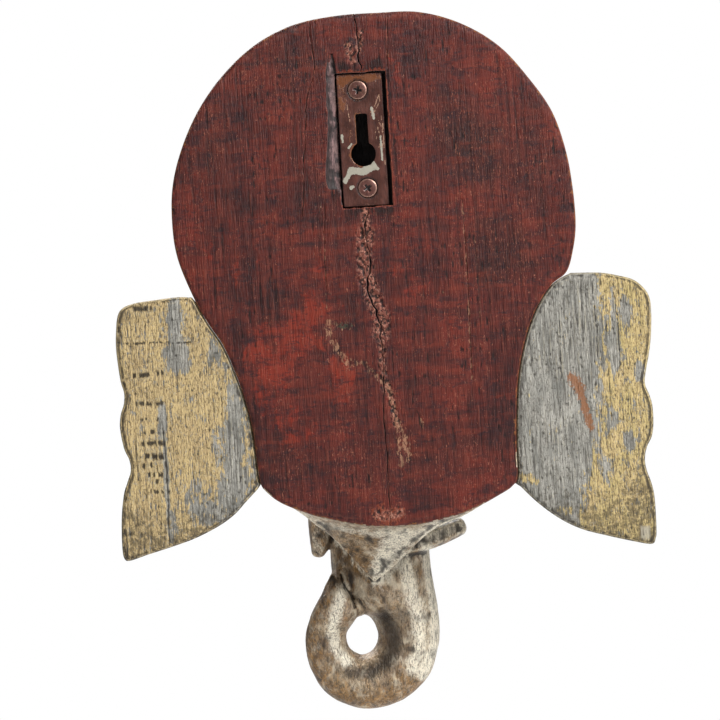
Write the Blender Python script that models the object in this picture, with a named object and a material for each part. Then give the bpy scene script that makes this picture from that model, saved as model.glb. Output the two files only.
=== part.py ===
"""A carved wooden elephant-headed mask with a flat painted back, made to hang on a wall.

It has six pieces: the head, carved from one block with its crown, face, trunk, lip and tusks; two
ear boards butted to its sides; and a keyhole hanger plate let into the back with two screws.

Metres, +Z up. The face looks along -Y and the flat back faces +Y, towards the wall. The
origin is on the hanger plate's outer face, on its middle line, just above the keyhole slot.
"""

import math

import bmesh
import bpy
import numpy as np

MM = 0.001

# Hanger plate and its screws
PLATE_WIDTH = 19.3 * MM
PLATE_TOP = 13.0 * MM
PLATE_BOTTOM = -43.0 * MM
PLATE_THICKNESS = 1.8 * MM
PLATE_RECESS = 1.6 * MM
SLOT_WIDTH = 5.0 * MM
SLOT_TOP = -4.0 * MM
KEYHOLE_RADIUS = 5.2 * MM
KEYHOLE_DROP = 17.0 * MM
SCREW_HEAD_RADIUS = 4.0 * MM
SCREW_HEAD_DEPTH = 1.3 * MM
SCREW_CROWN = 0.6 * MM
SCREW_SHANK_RADIUS = 1.7 * MM
SCREW_LENGTH = 16.0 * MM
SCREW_PLACES = {"upper_screw": (0.9 * MM, 6.0 * MM), "lower_screw": (-0.9 * MM, -35.4 * MM)}
CROSS_WIDTH = 1.1 * MM
CROSS_SPAN = 4.2 * MM
CROSS_DEPTH = 0.9 * MM
SCREW_EDGE = 0.25 * MM
SCREW_POINT = 3.0 * MM
FIT_GAP = 0.3 * MM
CUTTER_PROUD = 1.0 * MM

# Pocket in the back that holds the plate
POCKET_SLACK_LEFT = 0.5 * MM
POCKET_SLACK_RIGHT = 1.8 * MM
POCKET_SLACK_END = 0.5 * MM
CAVITY_DEPTH = 9.0 * MM
CAVITY_MARGIN = 1.4 * MM
PILOT_SLACK = 1.0 * MM

# Head block
BACK_Y = PLATE_RECESS
BOARD_DEPTH = 15.0 * MM
CARVING_INSET = 0.7 * MM
CARVING_BACK = 13.2 * MM
CARVING_CENTRE_Z = -70.0 * MM
GROOVE_DEPTH = 1.8 * MM
GROOVE_HALF_WIDTH = 2.0 * MM
MIDDLE_X = -2.6 * MM
CROWN_CENTRE_Z = -47.0 * MM
CROWN_RADIUS = 86.0 * MM
CROWN_RIM_DEPTH = 19.0 * MM
CROWN_SWELL = 10.0 * MM
CROWN_RIM_WIDTH = 8.0 * MM
CROWN_RIM_ROLL = 1.6 * MM
PETAL_BAND_WIDTH = 19.0 * MM
PETAL_COUNT = 24
PETAL_RISE = 4.8 * MM
BEAD_RING_RADIUS = 52.5 * MM
BEAD_COUNT = 36
BEAD_RADIUS = 3.8 * MM
BEAD_GROOVE_GAP = 1.2 * MM
JEWEL_CENTRE_Z = -32.0 * MM
JEWEL_HALF_HEIGHT = 21.0 * MM
JEWEL_HALF_WIDTH = 12.5 * MM
JEWEL_RISE = 8.0 * MM
SIDE_JEWEL_SPACING = 27.0 * MM
SIDE_JEWEL_DROP = 10.0 * MM
SIDE_JEWEL_SCALE = 0.6
SIDE_JEWEL_LEAN = 0.7
FACE_CENTRE_Z = -117.0 * MM
FACE_HALF_HEIGHT = 62.0 * MM
FACE_HALF_WIDTH = 60.0 * MM
FACE_RIM_DEPTH = 17.0 * MM
FACE_SWELL = 33.0 * MM
DIADEM_Z = -71.0 * MM
DIADEM_DROP = 12.0 * MM
DIADEM_HALF_HEIGHT = 6.5 * MM
DIADEM_RISE = 4.5 * MM
DIADEM_ROLL = 1.6 * MM
DIADEM_BEADS = 13
DIADEM_BEAD_RADIUS = 3.6 * MM
DIADEM_JEWEL_HALF_WIDTH = 8.0 * MM
DIADEM_JEWEL_HALF_HEIGHT = 10.0 * MM
DIADEM_JEWEL_RISE = 5.0 * MM
FOREHEAD_BOSS_SIDE = 15.0 * MM
FOREHEAD_BOSS_Z = -93.0 * MM
FOREHEAD_BOSS_RADIUS = 21.0 * MM
FOREHEAD_BOSS_RISE = 4.0 * MM
EYE_SIDE = 31.0 * MM
EYE_Z = -116.0 * MM
EYE_HALF_WIDTH = 11.5 * MM
EYE_HALF_HEIGHT = 6.0 * MM
EYE_LEAN = 0.22
EYE_SOCKET_DEPTH = 3.5 * MM
EYE_STEP = 1.2 * MM
EYE_BALL_RISE = 2.6 * MM
EYELID_RISE = 2.0 * MM
BROW_RISE = 4.5 * MM
CHEEK_SIDE = 36.0 * MM
CHEEK_Z = -146.0 * MM
CHEEK_RADIUS = 22.0 * MM
CHEEK_RISE = 5.0 * MM
BLEND_WIDTH = 4.0 * MM

# Trunk
TRUNK_RING_PITCH = 8.5 * MM
TRUNK_RING_DEPTH = 1.3 * MM
TRUNK_RING_HALF_WIDTH = 1.8 * MM
TRUNK_RINGS_START_Z = -98.0 * MM
TRUNK_RINGS_FULL_Z = -106.0 * MM
TRUNK_FLATNESS = 0.82
TRUNK_ROOT_Z = -92 * MM
TRUNK_ROOT_HALF = 11 * MM
TRUNK_ROOT_DEPTH = 51 * MM
TRUNK_RINGED_SECTIONS = 9

# Ears
EAR_BACK_STEP = 0.8 * MM
EAR_THICKNESS = 9.5 * MM
EAR_RIM_RISE = 2.2 * MM
EAR_BOWL_DEPTH = 3.0 * MM
EAR_BEVEL = 1.0 * MM
EAR_ROOT_SIDE = 46.0 * MM
EAR_ROOT_Z = -112.0 * MM
EAR_FOLD_RISE = 1.1 * MM
EAR_FOLDS_START = 62.0 * MM
EAR_FOLDS_FULL = 100.0 * MM
EAR_SEAT_TRIM = 1.5 * MM
EAR_SEAT_SIDE = 40.0 * MM
EAR_RINGS = 7

# Fineness of the carved mesh
CARVING_VOXEL = 1.1 * MM
CARVING_TRIANGLES = 6400
CARVING_RINGS = 90
RING_POINTS = 36
TRUNK_SPAN_POINTS = 8
SHARP_ANGLE = math.radians(40)

# The head's outline as (x, z) in millimetres, from the top round by the mask's left side.
HEAD_OUTLINE = [
    (-9, 37.9), (9, 37.6), (27.1, 34.7), (43.3, 27.2), (57.2, 15.5), (68, 1.8), (75.8, -13.2),
    (80.8, -28.9), (82.1, -44.8), (80.7, -60.1), (74.9, -77.2), (69.9, -87.6), (64, -97.6),
    (59.9, -108.3), (56.2, -120.6), (53.6, -134), (52.6, -148), (51.8, -156), (49.3, -160.5),
    (41.5, -166.5), (23.5, -173.7), (4.3, -177.6), (-15.4, -177.7), (-34.7, -173.6),
    (-49.4, -167), (-54.3, -163.9), (-56.4, -160.4), (-56.7, -150), (-57.4, -136), (-59.2, -119),
    (-63.3, -102.6), (-68.8, -90), (-75.5, -80.8), (-82.2, -75.6), (-85.5, -66.5), (-87.3, -55.4),
    (-86.9, -40.1), (-84.9, -24.1), (-80.1, -7.8), (-71, 7), (-59.5, 21), (-44.4, 31.2),
    (-27.2, 37.1),
]
HEAD_SPAN_POINTS = 2
EAR_SPAN_POINTS = 1

# Outer edges of the ears as (x, z) in millimetres, from the top joint down to the lower one.
LEFT_EAR_EDGE = [
    (76, -76.8), (82, -76.3), (92, -77), (100.1, -77.8), (105.1, -79.5), (107.5, -82.9),
    (108.6, -90), (108.9, -98), (107.9, -110), (106.7, -115.2), (107.1, -119.9), (108.7, -124.4),
    (109.3, -130.1), (108.1, -138.6), (106.2, -143.5), (105.9, -148.2), (107.4, -152.4),
    (109.4, -158), (110.9, -168), (111.4, -180), (110.7, -184.9), (108.3, -185.8),
    (100.6, -183.7), (89.9, -180.9), (80, -177.9), (70.2, -173.5), (63.4, -169.1), (58.3, -164.1),
    (53.2, -159.2),
]
RIGHT_EAR_EDGE = [
    (-84, -76.2), (-95.9, -76.8), (-103.9, -78.5), (-110.2, -80.7), (-114.5, -84.7), (-116.5, -89),
    (-116.8, -95.4), (-116, -105), (-114.6, -112.9), (-112.7, -120.9), (-112.4, -125),
    (-113.8, -129.1), (-114.9, -134), (-114.9, -141.2), (-113.9, -146.8), (-111.5, -151.4),
    (-110.4, -156.3), (-110.9, -161), (-112.6, -166.7), (-113.5, -173), (-113.5, -185.4),
    (-112.9, -189.8), (-111, -192.1), (-103.4, -190.5), (-92.3, -187.4), (-81.9, -184),
    (-73.1, -179.1), (-64.6, -172.2), (-57.8, -164.9),
]
LEFT_EAR_CENTRE = (81, -128)
RIGHT_EAR_CENTRE = (-87, -130)

# The trunk from its root round its curl, as sections between its two edges seen from behind:
# (outer x, outer z, inner x, inner z, depth behind the back), mm.
TRUNK_SECTIONS = [
    (-17, -122, 13, -122, 42), (-20, -146, 18, -146, 47), (-19, -172, 24, -172, 53),
    (-18.7, -196, 25, -194, 54), (-19.6, -207, 23.8, -206.7, 54), (-20.5, -214, 17, -216.3, 54),
    (-20.9, -219.5, 9.7, -219.5, 54), (-21.1, -227.4, 6.8, -224.8, 54),
    (-19.9, -234.8, 6.6, -229.5, 54), (-15, -246.8, 9, -234, 54), (-3.3, -256.8, 13.1, -235.8, 54),
    (13.4, -259.8, 16.2, -234.8, 53), (28.4, -253.4, 18.5, -232.4, 51),
    (36.3, -240.9, 19.8, -228.7, 48), (38, -228, 19.2, -224.6, 45), (35.2, -217, 15.3, -219.3, 41),
    (30.5, -208.6, 14.6, -214.8, 38), (27.5, -203, 17.7, -208.8, 36.5), (24.9, -198.4, 22.4, -200.3, 36),
]
# Wood left between the curl's end and the trunk above the hole: (x, z, depth, radius), mm.
WEB_LINE = [(16.8, -215.3, 41, 3.7), (12.8, -214, 46, 4.3), (8.8, -212.6, 50, 4.8)]
# The tusks, the right one broken short, as the same values.
LEFT_TUSK_LINE = [
    (23, -150, 33, 8.5), (26, -165, 40, 8), (28, -178, 45, 6.4), (29, -186, 47, 5.2),
    (30.2, -190.3, 48, 3.6),
]
RIGHT_TUSK_LINE = [
    (-8, -188, 41, 6.2), (-19, -186.4, 45, 5.6), (-28, -183.8, 48, 5), (-32.5, -182.3, 49, 4.6),
]

# The lip's rim from the mask's left to its right, its pointed tip in the middle: (x, z, depth).
LIP_RIM_LEFT = [
    (43.5, -164.9, 2.5), (36.7, -170, 6), (30.5, -175.6, 11), (23.3, -182.5, 18),
    (15.8, -192.2, 27), (6.6, -204, 35),
]
LIP_RIM_RIGHT = [
    (-3.8, -196, 27), (-12.8, -187.3, 18), (-21.5, -180.6, 10), (-33.9, -175.6, 5),
    (-43.5, -170, 2.5),
]
LIP_KEEL_X = -0.7 * MM
LIP_THICKNESS = 2.2 * MM
LIP_ROLL = 1.5 * MM
LIP_OVERLAP = 0.3 * MM
JAW_INSET = 0.5 * MM
JAW_TOP = -148 * MM

# Where the wood has split: (x, z, half width of the crack at the surface), mm.
UPPER_CRACK = [(0.8, 40, 0.5), (0.3, 30, 0.7), (0.1, 20, 0.6), (0.1, 12, 0.5)]
LOWER_CRACK = [
    (-1.4, -42, 0.5), (1.1, -57, 0.9), (1.8, -70, 1.1), (1.6, -84, 1), (-2, -101.6, 0.8),
    (-2.6, -112, 0.7), (-2.3, -125, 0.7), (-1.9, -146, 0.6), (-0.7, -180, 0.6),
]
CRACK_DEPTH = 1.8 * MM

# The sliver broken from beside the pocket: (outer edge x, inner edge x, z, depth inside), mm.
SPLINTER_LINE = [
    (12.1, 11.5, 21.8, 0.6), (13.6, 10.3, 14, 1.6), (13.9, 10.0, 8, 2.6), (14.3, 10.0, -10, 3.2),
    (16.1, 10.0, -32.8, 3.2), (11.4, 10.0, -35.8, 3.2), (10.4, 10.0, -42, 3.2),
]


def clear_scene():
    for old in list(bpy.data.objects):
        bpy.data.objects.remove(old)


def material(name, colour, roughness, metallic=0.0):
    made = bpy.data.materials.new(name)
    made.use_nodes = True
    shader = made.node_tree.nodes["Principled BSDF"]
    shader.inputs["Base Color"].default_value = (*colour, 1.0)
    shader.inputs["Roughness"].default_value = roughness
    shader.inputs["Metallic"].default_value = metallic
    return made


def object_from(bm, name, surface=None):
    """A mesh object from a bmesh, in the scene."""
    bmesh.ops.recalc_face_normals(bm, faces=bm.faces)
    mesh = bpy.data.meshes.new(name)
    bm.to_mesh(mesh)
    bm.free()
    mesh.shade_smooth()
    mesh.set_sharp_from_angle(angle=SHARP_ANGLE)
    made = bpy.data.objects.new(name, mesh)
    bpy.context.scene.collection.objects.link(made)
    if surface:
        mesh.materials.append(surface)
    return made


def hide_helper(helper):
    helper.hide_render = True
    helper.display_type = "WIRE"


def add_boolean(target, cutter, operation):
    modifier = target.modifiers.new(f"{operation.title()} {cutter.name}", "BOOLEAN")
    modifier.operation = operation
    modifier.object = cutter
    hide_helper(cutter)


def smooth_step(low, high, value):
    t = np.clip((value - low) / (high - low), 0, 1)
    return t * t * (3 - 2 * t)


def bell(value, half_width):
    """One at zero, falling smoothly to nothing at the half width."""
    t = np.clip(np.abs(value) / half_width, 0, 1)
    return (1 - t * t) ** 2


def dome(u, v, power=2.0):
    """A rounded cap over the unit oval, nothing outside it."""
    return np.maximum(0, 1 - np.abs(u) ** power - np.abs(v) ** power) ** (1 / power)


def soft_max(a, b, width):
    """The larger of two depths, blended where they are close."""
    mix = np.clip(0.5 + 0.5 * (a - b) / width, 0, 1)
    return b + (a - b) * mix + width * mix * (1 - mix)


def spline_points(points, spans, closed):
    """A smooth curve through the points, in as many steps a span as asked."""
    p = np.array(points, float)
    count = len(p)
    steps = max(1, round(spans))
    out = []
    for i in range(count if closed else count - 1):
        a, b, c, d = (
            p[(i + k) % count] if closed else p[min(max(i + k, 0), count - 1)]
            for k in (-1, 0, 1, 2)
        )
        for step in range(steps):
            t = step / steps
            out.append(
                0.5 * (2 * b + (c - a) * t + (2 * a - 5 * b + 4 * c - d) * t**2
                       + (3 * b - a - 3 * c + d) * t**3)
            )
    if not closed:
        out.append(p[-1])
    return np.array(out)


def offset_outline(outline, distance):
    """A closed outline moved outwards by a distance."""
    x, z = outline.T
    if np.sum(x * np.roll(z, -1) - z * np.roll(x, -1)) > 0:
        distance = -distance
    ahead = np.roll(outline, -1, axis=0) - outline
    behind = outline - np.roll(outline, 1, axis=0)
    ahead /= np.linalg.norm(ahead, axis=1)[:, None]
    behind /= np.linalg.norm(behind, axis=1)[:, None]
    normals = np.stack([-(ahead + behind)[:, 1], (ahead + behind)[:, 0]], axis=1)
    normals /= np.linalg.norm(normals, axis=1)[:, None]
    edge_normals = np.stack([-ahead[:, 1], ahead[:, 0]], axis=1)
    half_turn = np.maximum(0.6, np.sum(normals * edge_normals, axis=1))
    return outline + normals * (distance / half_turn)[:, None]


HEAD_EDGE = spline_points(HEAD_OUTLINE, HEAD_SPAN_POINTS, closed=True) * MM


def crown_depth(x, z):
    """Rim moulding, a band of petals, a ring of beads and a swelling field with a jewel."""
    radius = np.hypot(x - MIDDLE_X, z - CROWN_CENTRE_Z)
    angle = np.arctan2(x - MIDDLE_X, z - CROWN_CENTRE_Z)
    depth = CROWN_RIM_DEPTH + CROWN_SWELL * (1 - np.clip(radius / CROWN_RADIUS, 0, 1) ** 2)
    rim_line = CROWN_RADIUS - CROWN_RIM_WIDTH
    depth += CROWN_RIM_ROLL * smooth_step(rim_line, rim_line + GROOVE_HALF_WIDTH, radius)
    depth -= GROOVE_DEPTH * bell(radius - rim_line, GROOVE_HALF_WIDTH)
    petal_line = rim_line - PETAL_BAND_WIDTH
    along = np.clip((radius - petal_line) / PETAL_BAND_WIDTH, 0, 1)
    across = np.abs((angle * PETAL_COUNT / (2 * math.pi) + 0.5) % 1 - 0.5) * 2
    leaf = np.clip(1.15 * np.sqrt(np.clip(1 - along, 0, 1)) - across, 0, 1)
    depth += PETAL_RISE * smooth_step(0, 0.55, leaf) * ((radius > petal_line) & (radius < rim_line))
    depth -= GROOVE_DEPTH * bell(radius - petal_line, GROOVE_HALF_WIDTH)
    turn = (angle * BEAD_COUNT / (2 * math.pi) + 0.5) % 1 - 0.5
    side = turn * 2 * math.pi * BEAD_RING_RADIUS / BEAD_COUNT
    depth += BEAD_RADIUS * dome(side / BEAD_RADIUS, (radius - BEAD_RING_RADIUS) / BEAD_RADIUS)
    inner_line = BEAD_RING_RADIUS - BEAD_RADIUS - BEAD_GROOVE_GAP
    depth -= GROOVE_DEPTH * bell(radius - inner_line, GROOVE_HALF_WIDTH)
    return depth + jewel_rise(x, z)


def jewel_rise(x, z):
    """A pointed drop in a raised frame, with a smaller one leaning out at each side."""
    rise = 0
    for side in (0, -1, 1):
        scale = SIDE_JEWEL_SCALE if side else 1.0
        lean = side * SIDE_JEWEL_LEAN
        dx = x - MIDDLE_X - side * SIDE_JEWEL_SPACING
        dz = z - JEWEL_CENTRE_Z + abs(side) * SIDE_JEWEL_DROP
        u = dx * math.cos(lean) - dz * math.sin(lean)
        v = dx * math.sin(lean) + dz * math.cos(lean)
        tall = v / (JEWEL_HALF_HEIGHT * scale)
        wide = u / (JEWEL_HALF_WIDTH * scale * np.clip(1 - 0.45 * tall, 0.25, 1.4))
        size = np.hypot(tall, wide)
        frame = JEWEL_RISE * scale * 0.55 * smooth_step(1.08, 0.9, size)
        stone = JEWEL_RISE * scale * 0.7 * dome(wide / 0.68, tall / 0.68)
        groove = GROOVE_DEPTH * bell(size - 0.74, 0.12)
        rise = np.maximum(rise, frame + stone - groove)
    return rise


def trunk_axis(z):
    """The trunk ridge's middle, half width and crest depth on the face, at a height."""
    outer, heights, inner, _, depth = (np.array(v, float) * MM for v in zip(*TRUNK_SECTIONS[:4]))
    radius = (inner - outer) / 2
    rows = ((outer + inner) / 2, radius, depth + radius * TRUNK_FLATNESS)
    heights = np.concatenate([[TRUNK_ROOT_Z], heights])
    root = (MIDDLE_X, TRUNK_ROOT_HALF, TRUNK_ROOT_DEPTH)
    return [np.interp(-z, -heights, np.concatenate([[top], row])) for top, row in zip(root, rows)]


def ring_grooves(z):
    """Notches across the trunk, one every pitch."""
    place = (z / TRUNK_RING_PITCH + 0.5) % 1 - 0.5
    return TRUNK_RING_DEPTH * bell(place * TRUNK_RING_PITCH, TRUNK_RING_HALF_WIDTH)


def eye_rise(x, z):
    """An almond eye in its socket under a long brow, the same on both sides of the face."""
    dx = np.abs(x - MIDDLE_X) - EYE_SIDE
    dz = z - EYE_Z
    u = (dx * math.cos(EYE_LEAN) - dz * math.sin(EYE_LEAN)) / EYE_HALF_WIDTH
    v = (dx * math.sin(EYE_LEAN) + dz * math.cos(EYE_LEAN)) / EYE_HALF_HEIGHT
    lid = np.clip(1 - u * u, 0, 1)
    edge = np.where(v > 0, v - lid, -v - 0.75 * lid)
    inside = smooth_step(0.12, -0.12, edge) * (np.abs(u) < 1)
    socket = -EYE_SOCKET_DEPTH * bell(np.hypot(u * 0.62, v * 0.36), 1.0)
    ball = inside * (EYE_STEP + EYE_BALL_RISE * dome(u * 0.9, v * 0.85))
    lids = EYELID_RISE * bell(edge, 0.34) * smooth_step(1.25, 0.9, np.abs(u))
    arch = v - 2.55 + 0.55 * (u + 0.15) ** 2
    brow = BROW_RISE * bell(arch, 0.95) * smooth_step(1.75, 1.2, np.abs(u))
    return socket + ball + lids + brow


def face_depth(x, z):
    """Forehead, brows, eyes, cheeks and the root of the trunk."""
    dx = x - MIDDLE_X
    body = dome(dx / FACE_HALF_WIDTH, (z - FACE_CENTRE_Z) / FACE_HALF_HEIGHT, 2.5)
    depth = FACE_RIM_DEPTH + FACE_SWELL * body
    for side in (-1, 1):
        boss = np.hypot(dx - side * FOREHEAD_BOSS_SIDE, (z - FOREHEAD_BOSS_Z) * 0.95)
        depth += FOREHEAD_BOSS_RISE * bell(boss, FOREHEAD_BOSS_RADIUS)
        cheek = np.hypot((dx - side * CHEEK_SIDE) * 0.9, z - CHEEK_Z)
        depth += CHEEK_RISE * bell(cheek, CHEEK_RADIUS)
    depth += eye_rise(x, z) * smooth_step(0.0, 0.35, body)
    middle, half, crest = trunk_axis(z)
    across = np.clip(np.abs(x - middle) / half, 0, 1)
    ridge = crest - half * TRUNK_FLATNESS * (1 - np.sqrt(1 - across**2 * 0.98))
    ringed = smooth_step(1, 0.7, across) * smooth_step(TRUNK_RINGS_START_Z, TRUNK_RINGS_FULL_Z, z)
    ridge -= ring_grooves(z) * ringed
    ridge = np.where((across < 1) & (z < TRUNK_ROOT_Z), ridge, 0)
    return soft_max(ridge, depth, BLEND_WIDTH)


def diadem_depth(x, z, ground):
    """A raised band over the forehead, with a row of beads between two mouldings."""
    dx = x - MIDDLE_X
    line = DIADEM_Z - DIADEM_DROP * (dx / FACE_HALF_WIDTH) ** 2
    up = z - line
    half_edge = DIADEM_ROLL / 2
    band = smooth_step(DIADEM_HALF_HEIGHT + half_edge, DIADEM_HALF_HEIGHT - half_edge, np.abs(up))
    rolls = DIADEM_ROLL * bell(np.abs(up) - DIADEM_HALF_HEIGHT + DIADEM_ROLL, DIADEM_ROLL)
    pitch = 2 * FACE_HALF_WIDTH / DIADEM_BEADS
    turn = ((dx / pitch + 0.5) % 1 - 0.5) * pitch
    beads = 0.8 * DIADEM_BEAD_RADIUS * dome(turn / DIADEM_BEAD_RADIUS, up / DIADEM_BEAD_RADIUS)
    jewel = DIADEM_JEWEL_RISE * dome(dx / DIADEM_JEWEL_HALF_WIDTH, up / DIADEM_JEWEL_HALF_HEIGHT)
    return ground + np.maximum(band * (DIADEM_RISE + rolls + beads), jewel + band * DIADEM_RISE)


def carving_depth(x, z):
    """Depth of the carved front below the flat back, at any point of the head."""
    crown = crown_depth(x, z)
    face = face_depth(x, z)
    return diadem_depth(x, z, soft_max(face, crown, BLEND_WIDTH) - BLEND_WIDTH / 4)


def ear_depth(x, z, centre, half_size):
    """The ear's front: a hollow bowl in a raised rim, with three folds fanning outwards."""
    dx = (x - centre[0]) / half_size[0]
    dz = (z - centre[1]) / half_size[1]
    edge = np.maximum(np.abs(dx), np.abs(dz))
    out = np.abs(x - MIDDLE_X)
    turn = np.arctan2(z - EAR_ROOT_Z, out - EAR_ROOT_SIDE)
    folds = np.cos(turn * 9.0 + 1.2) * smooth_step(EAR_FOLDS_START, EAR_FOLDS_FULL, out)
    bowl = EAR_BOWL_DEPTH * bell(np.hypot(dx, dz * 0.9), 1.15)
    return EAR_THICKNESS - bowl + EAR_FOLD_RISE * folds * smooth_step(1.02, 0.8, edge)


def relief_slab(name, outline, centre, back, depth_at, rings, rim_rise=0.0, bevel=0.0, surface=None):
    """A slab with a flat back and a carved front, as rings of points that close on a centre."""
    bm = bmesh.new()
    centre = np.array(centre)
    loops = [[bm.verts.new((x, BACK_Y - back, z)) for x, z in offset_outline(outline, -bevel)]]
    if bevel:
        loops.append([bm.verts.new((x, BACK_Y - back - bevel, z)) for x, z in outline])
    for ring in range(rings):
        share = 1 - (ring / rings) ** 1.15 if ring else 1.0
        flat = centre + (outline - centre) * share
        depth = depth_at(flat[:, 0], flat[:, 1])
        if rim_rise:
            depth = depth + rim_rise * (ring in (1, 2))
        loops.append([bm.verts.new((x, BACK_Y - d, z)) for (x, z), d in zip(flat, depth)])
    for outer, inner in zip(loops, loops[1:]):
        for i, corner in enumerate(outer):
            j = (i + 1) % len(outer)
            bm.faces.new((corner, outer[j], inner[j], inner[i]))
    depth = float(depth_at(centre[:1], centre[1:])[0])
    tip = bm.verts.new((centre[0], BACK_Y - depth, centre[1]))
    for i, corner in enumerate(loops[-1]):
        bm.faces.new((corner, loops[-1][(i + 1) % len(outline)], tip))
    hub = bm.verts.new((centre[0], BACK_Y - back, centre[1]))
    for i, corner in enumerate(loops[0]):
        bm.faces.new((loops[0][(i + 1) % len(outline)], corner, hub))
    return object_from(bm, name, surface)


def tube(name, centres, sides, fronts, backs):
    """A closed tube through rings: each is a centre and half widths sideways, forward and back."""
    bm = bmesh.new()
    loops = []
    turns = np.linspace(0, 2 * math.pi, RING_POINTS, endpoint=False)
    ahead = np.maximum(0, np.sin(turns))[:, None]
    behind = np.maximum(0, -np.sin(turns))[:, None]
    for centre, side, front, back in zip(centres, sides, fronts, backs):
        ring = centre + np.cos(turns)[:, None] * side + ahead * front + behind * back
        loops.append([bm.verts.new(point) for point in ring])
    for first, second in zip(loops, loops[1:]):
        for i in range(RING_POINTS):
            j = (i + 1) % RING_POINTS
            bm.faces.new((first[i], first[j], second[j], second[i]))
    for loop, end, before in ((loops[0], 0, 1), (loops[-1], -1, -2)):
        outward = centres[end] - centres[before]
        cap = outward / np.linalg.norm(outward) * np.linalg.norm(sides[end]) * 0.55
        tip = bm.verts.new(centres[end] + cap)
        for i in range(RING_POINTS):
            bm.faces.new((loop[i], loop[(i + 1) % RING_POINTS], tip))
    return object_from(bm, name)


def swept_form(name, line, spans=6):
    """A round tube along (x, z, depth, radius) points, its radius following the list."""
    path = spline_points(line, spans, closed=False) * MM
    centres = np.stack([path[:, 0], BACK_Y - path[:, 2], path[:, 1]], axis=1)
    tangents = np.gradient(centres, axis=0)
    tangents /= np.linalg.norm(tangents, axis=1)[:, None]
    sides = np.cross(tangents, (0.0, 1.0, 0.0))
    sides *= (path[:, 3] / np.linalg.norm(sides, axis=1))[:, None]
    fronts = np.cross(sides, tangents)
    return tube(name, centres, sides, fronts, -fronts)


def trunk_form():
    """The trunk and its curl: flattened rings between the outer and the inner edge."""
    path = spline_points(TRUNK_SECTIONS, TRUNK_SPAN_POINTS, closed=False) * MM
    outer, inner = path[:, 0:2], path[:, 2:4]
    middle, half = (outer + inner) / 2, (inner - outer) / 2
    centres = np.stack([middle[:, 0], BACK_Y - path[:, 4], middle[:, 1]], axis=1)
    sides = np.stack([half[:, 0], np.zeros(len(path)), half[:, 1]], axis=1)
    backs = np.zeros_like(sides)
    backs[:, 1] = np.linalg.norm(sides, axis=1) * TRUNK_FLATNESS
    section = np.linspace(0, len(TRUNK_SECTIONS) - 1, len(path))
    descending = smooth_step(TRUNK_RINGED_SECTIONS, TRUNK_RINGED_SECTIONS - 1, section)
    fronts = -backs
    fronts[:, 1] += ring_grooves(middle[:, 1]) * descending
    return tube("trunk_form", centres, sides, fronts, backs)


def lower_edge(x):
    """Height of the head's lower edge at a given x."""
    low = HEAD_EDGE[HEAD_EDGE[:, 1] < -158 * MM]
    low = low[np.argsort(low[:, 0])]
    return np.interp(x, low[:, 0], low[:, 1])


def jaw_form():
    """The under-jaw: it leaves the back's lower edge and flares forward to a keeled lip."""
    left = spline_points(LIP_RIM_LEFT, 4, closed=False)
    right = spline_points([LIP_RIM_LEFT[-1], *LIP_RIM_RIGHT], 4, closed=False)
    rim = np.concatenate([left, right[1:]]) * MM
    tip_x = LIP_RIM_LEFT[-1][0] * MM
    bm = bmesh.new()
    loops = []
    for x, z, depth in rim:
        end = rim[0, 0] if x > tip_x else rim[-1, 0]
        start_x = LIP_KEEL_X + (end - LIP_KEEL_X) * abs((x - tip_x) / (end - tip_x)) ** 0.8
        start_z = lower_edge(start_x) + LIP_OVERLAP
        loop = []
        for share in np.linspace(0, 1, 9):
            fall = 0.4 * share + 0.6 * share**2
            loop.append((
                start_x + (x - start_x) * share,
                BACK_Y - JAW_INSET - (depth - JAW_INSET) * share,
                start_z + (z - start_z) * fall,
            ))
        loop.append((x, BACK_Y - depth - LIP_THICKNESS, z + LIP_ROLL))
        loop.append((x * 0.9, BACK_Y - depth - 2 * LIP_THICKNESS, JAW_TOP))
        loop.append((start_x, BACK_Y - JAW_INSET, JAW_TOP))
        loops.append([bm.verts.new(point) for point in loop])
    for first, second in zip(loops, loops[1:]):
        for i in range(len(first)):
            j = (i + 1) % len(first)
            bm.faces.new((first[i], first[j], second[j], second[i]))
    bm.faces.new(loops[0])
    bm.faces.new(list(reversed(loops[-1])))
    return object_from(bm, "jaw_form")


def join(objects, name):
    """One object that holds the meshes of several."""
    bm = bmesh.new()
    for obj in objects:
        bm.from_mesh(obj.data)
        bpy.data.objects.remove(obj)
    return object_from(bm, name)


def extruded(name, outline, front, back, surface=None):
    """A prism of an (x, z) outline between two depths behind the flat back."""
    bm = bmesh.new()
    loops = [[bm.verts.new((x, BACK_Y - depth, z)) for x, z in outline] for depth in (front, back)]
    count = len(outline)
    for i in range(count):
        j = (i + 1) % count
        bm.faces.new((loops[0][i], loops[0][j], loops[1][j], loops[1][i]))
    bm.faces.new(loops[0])
    bm.faces.new(list(reversed(loops[1])))
    return object_from(bm, name, surface)


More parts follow.
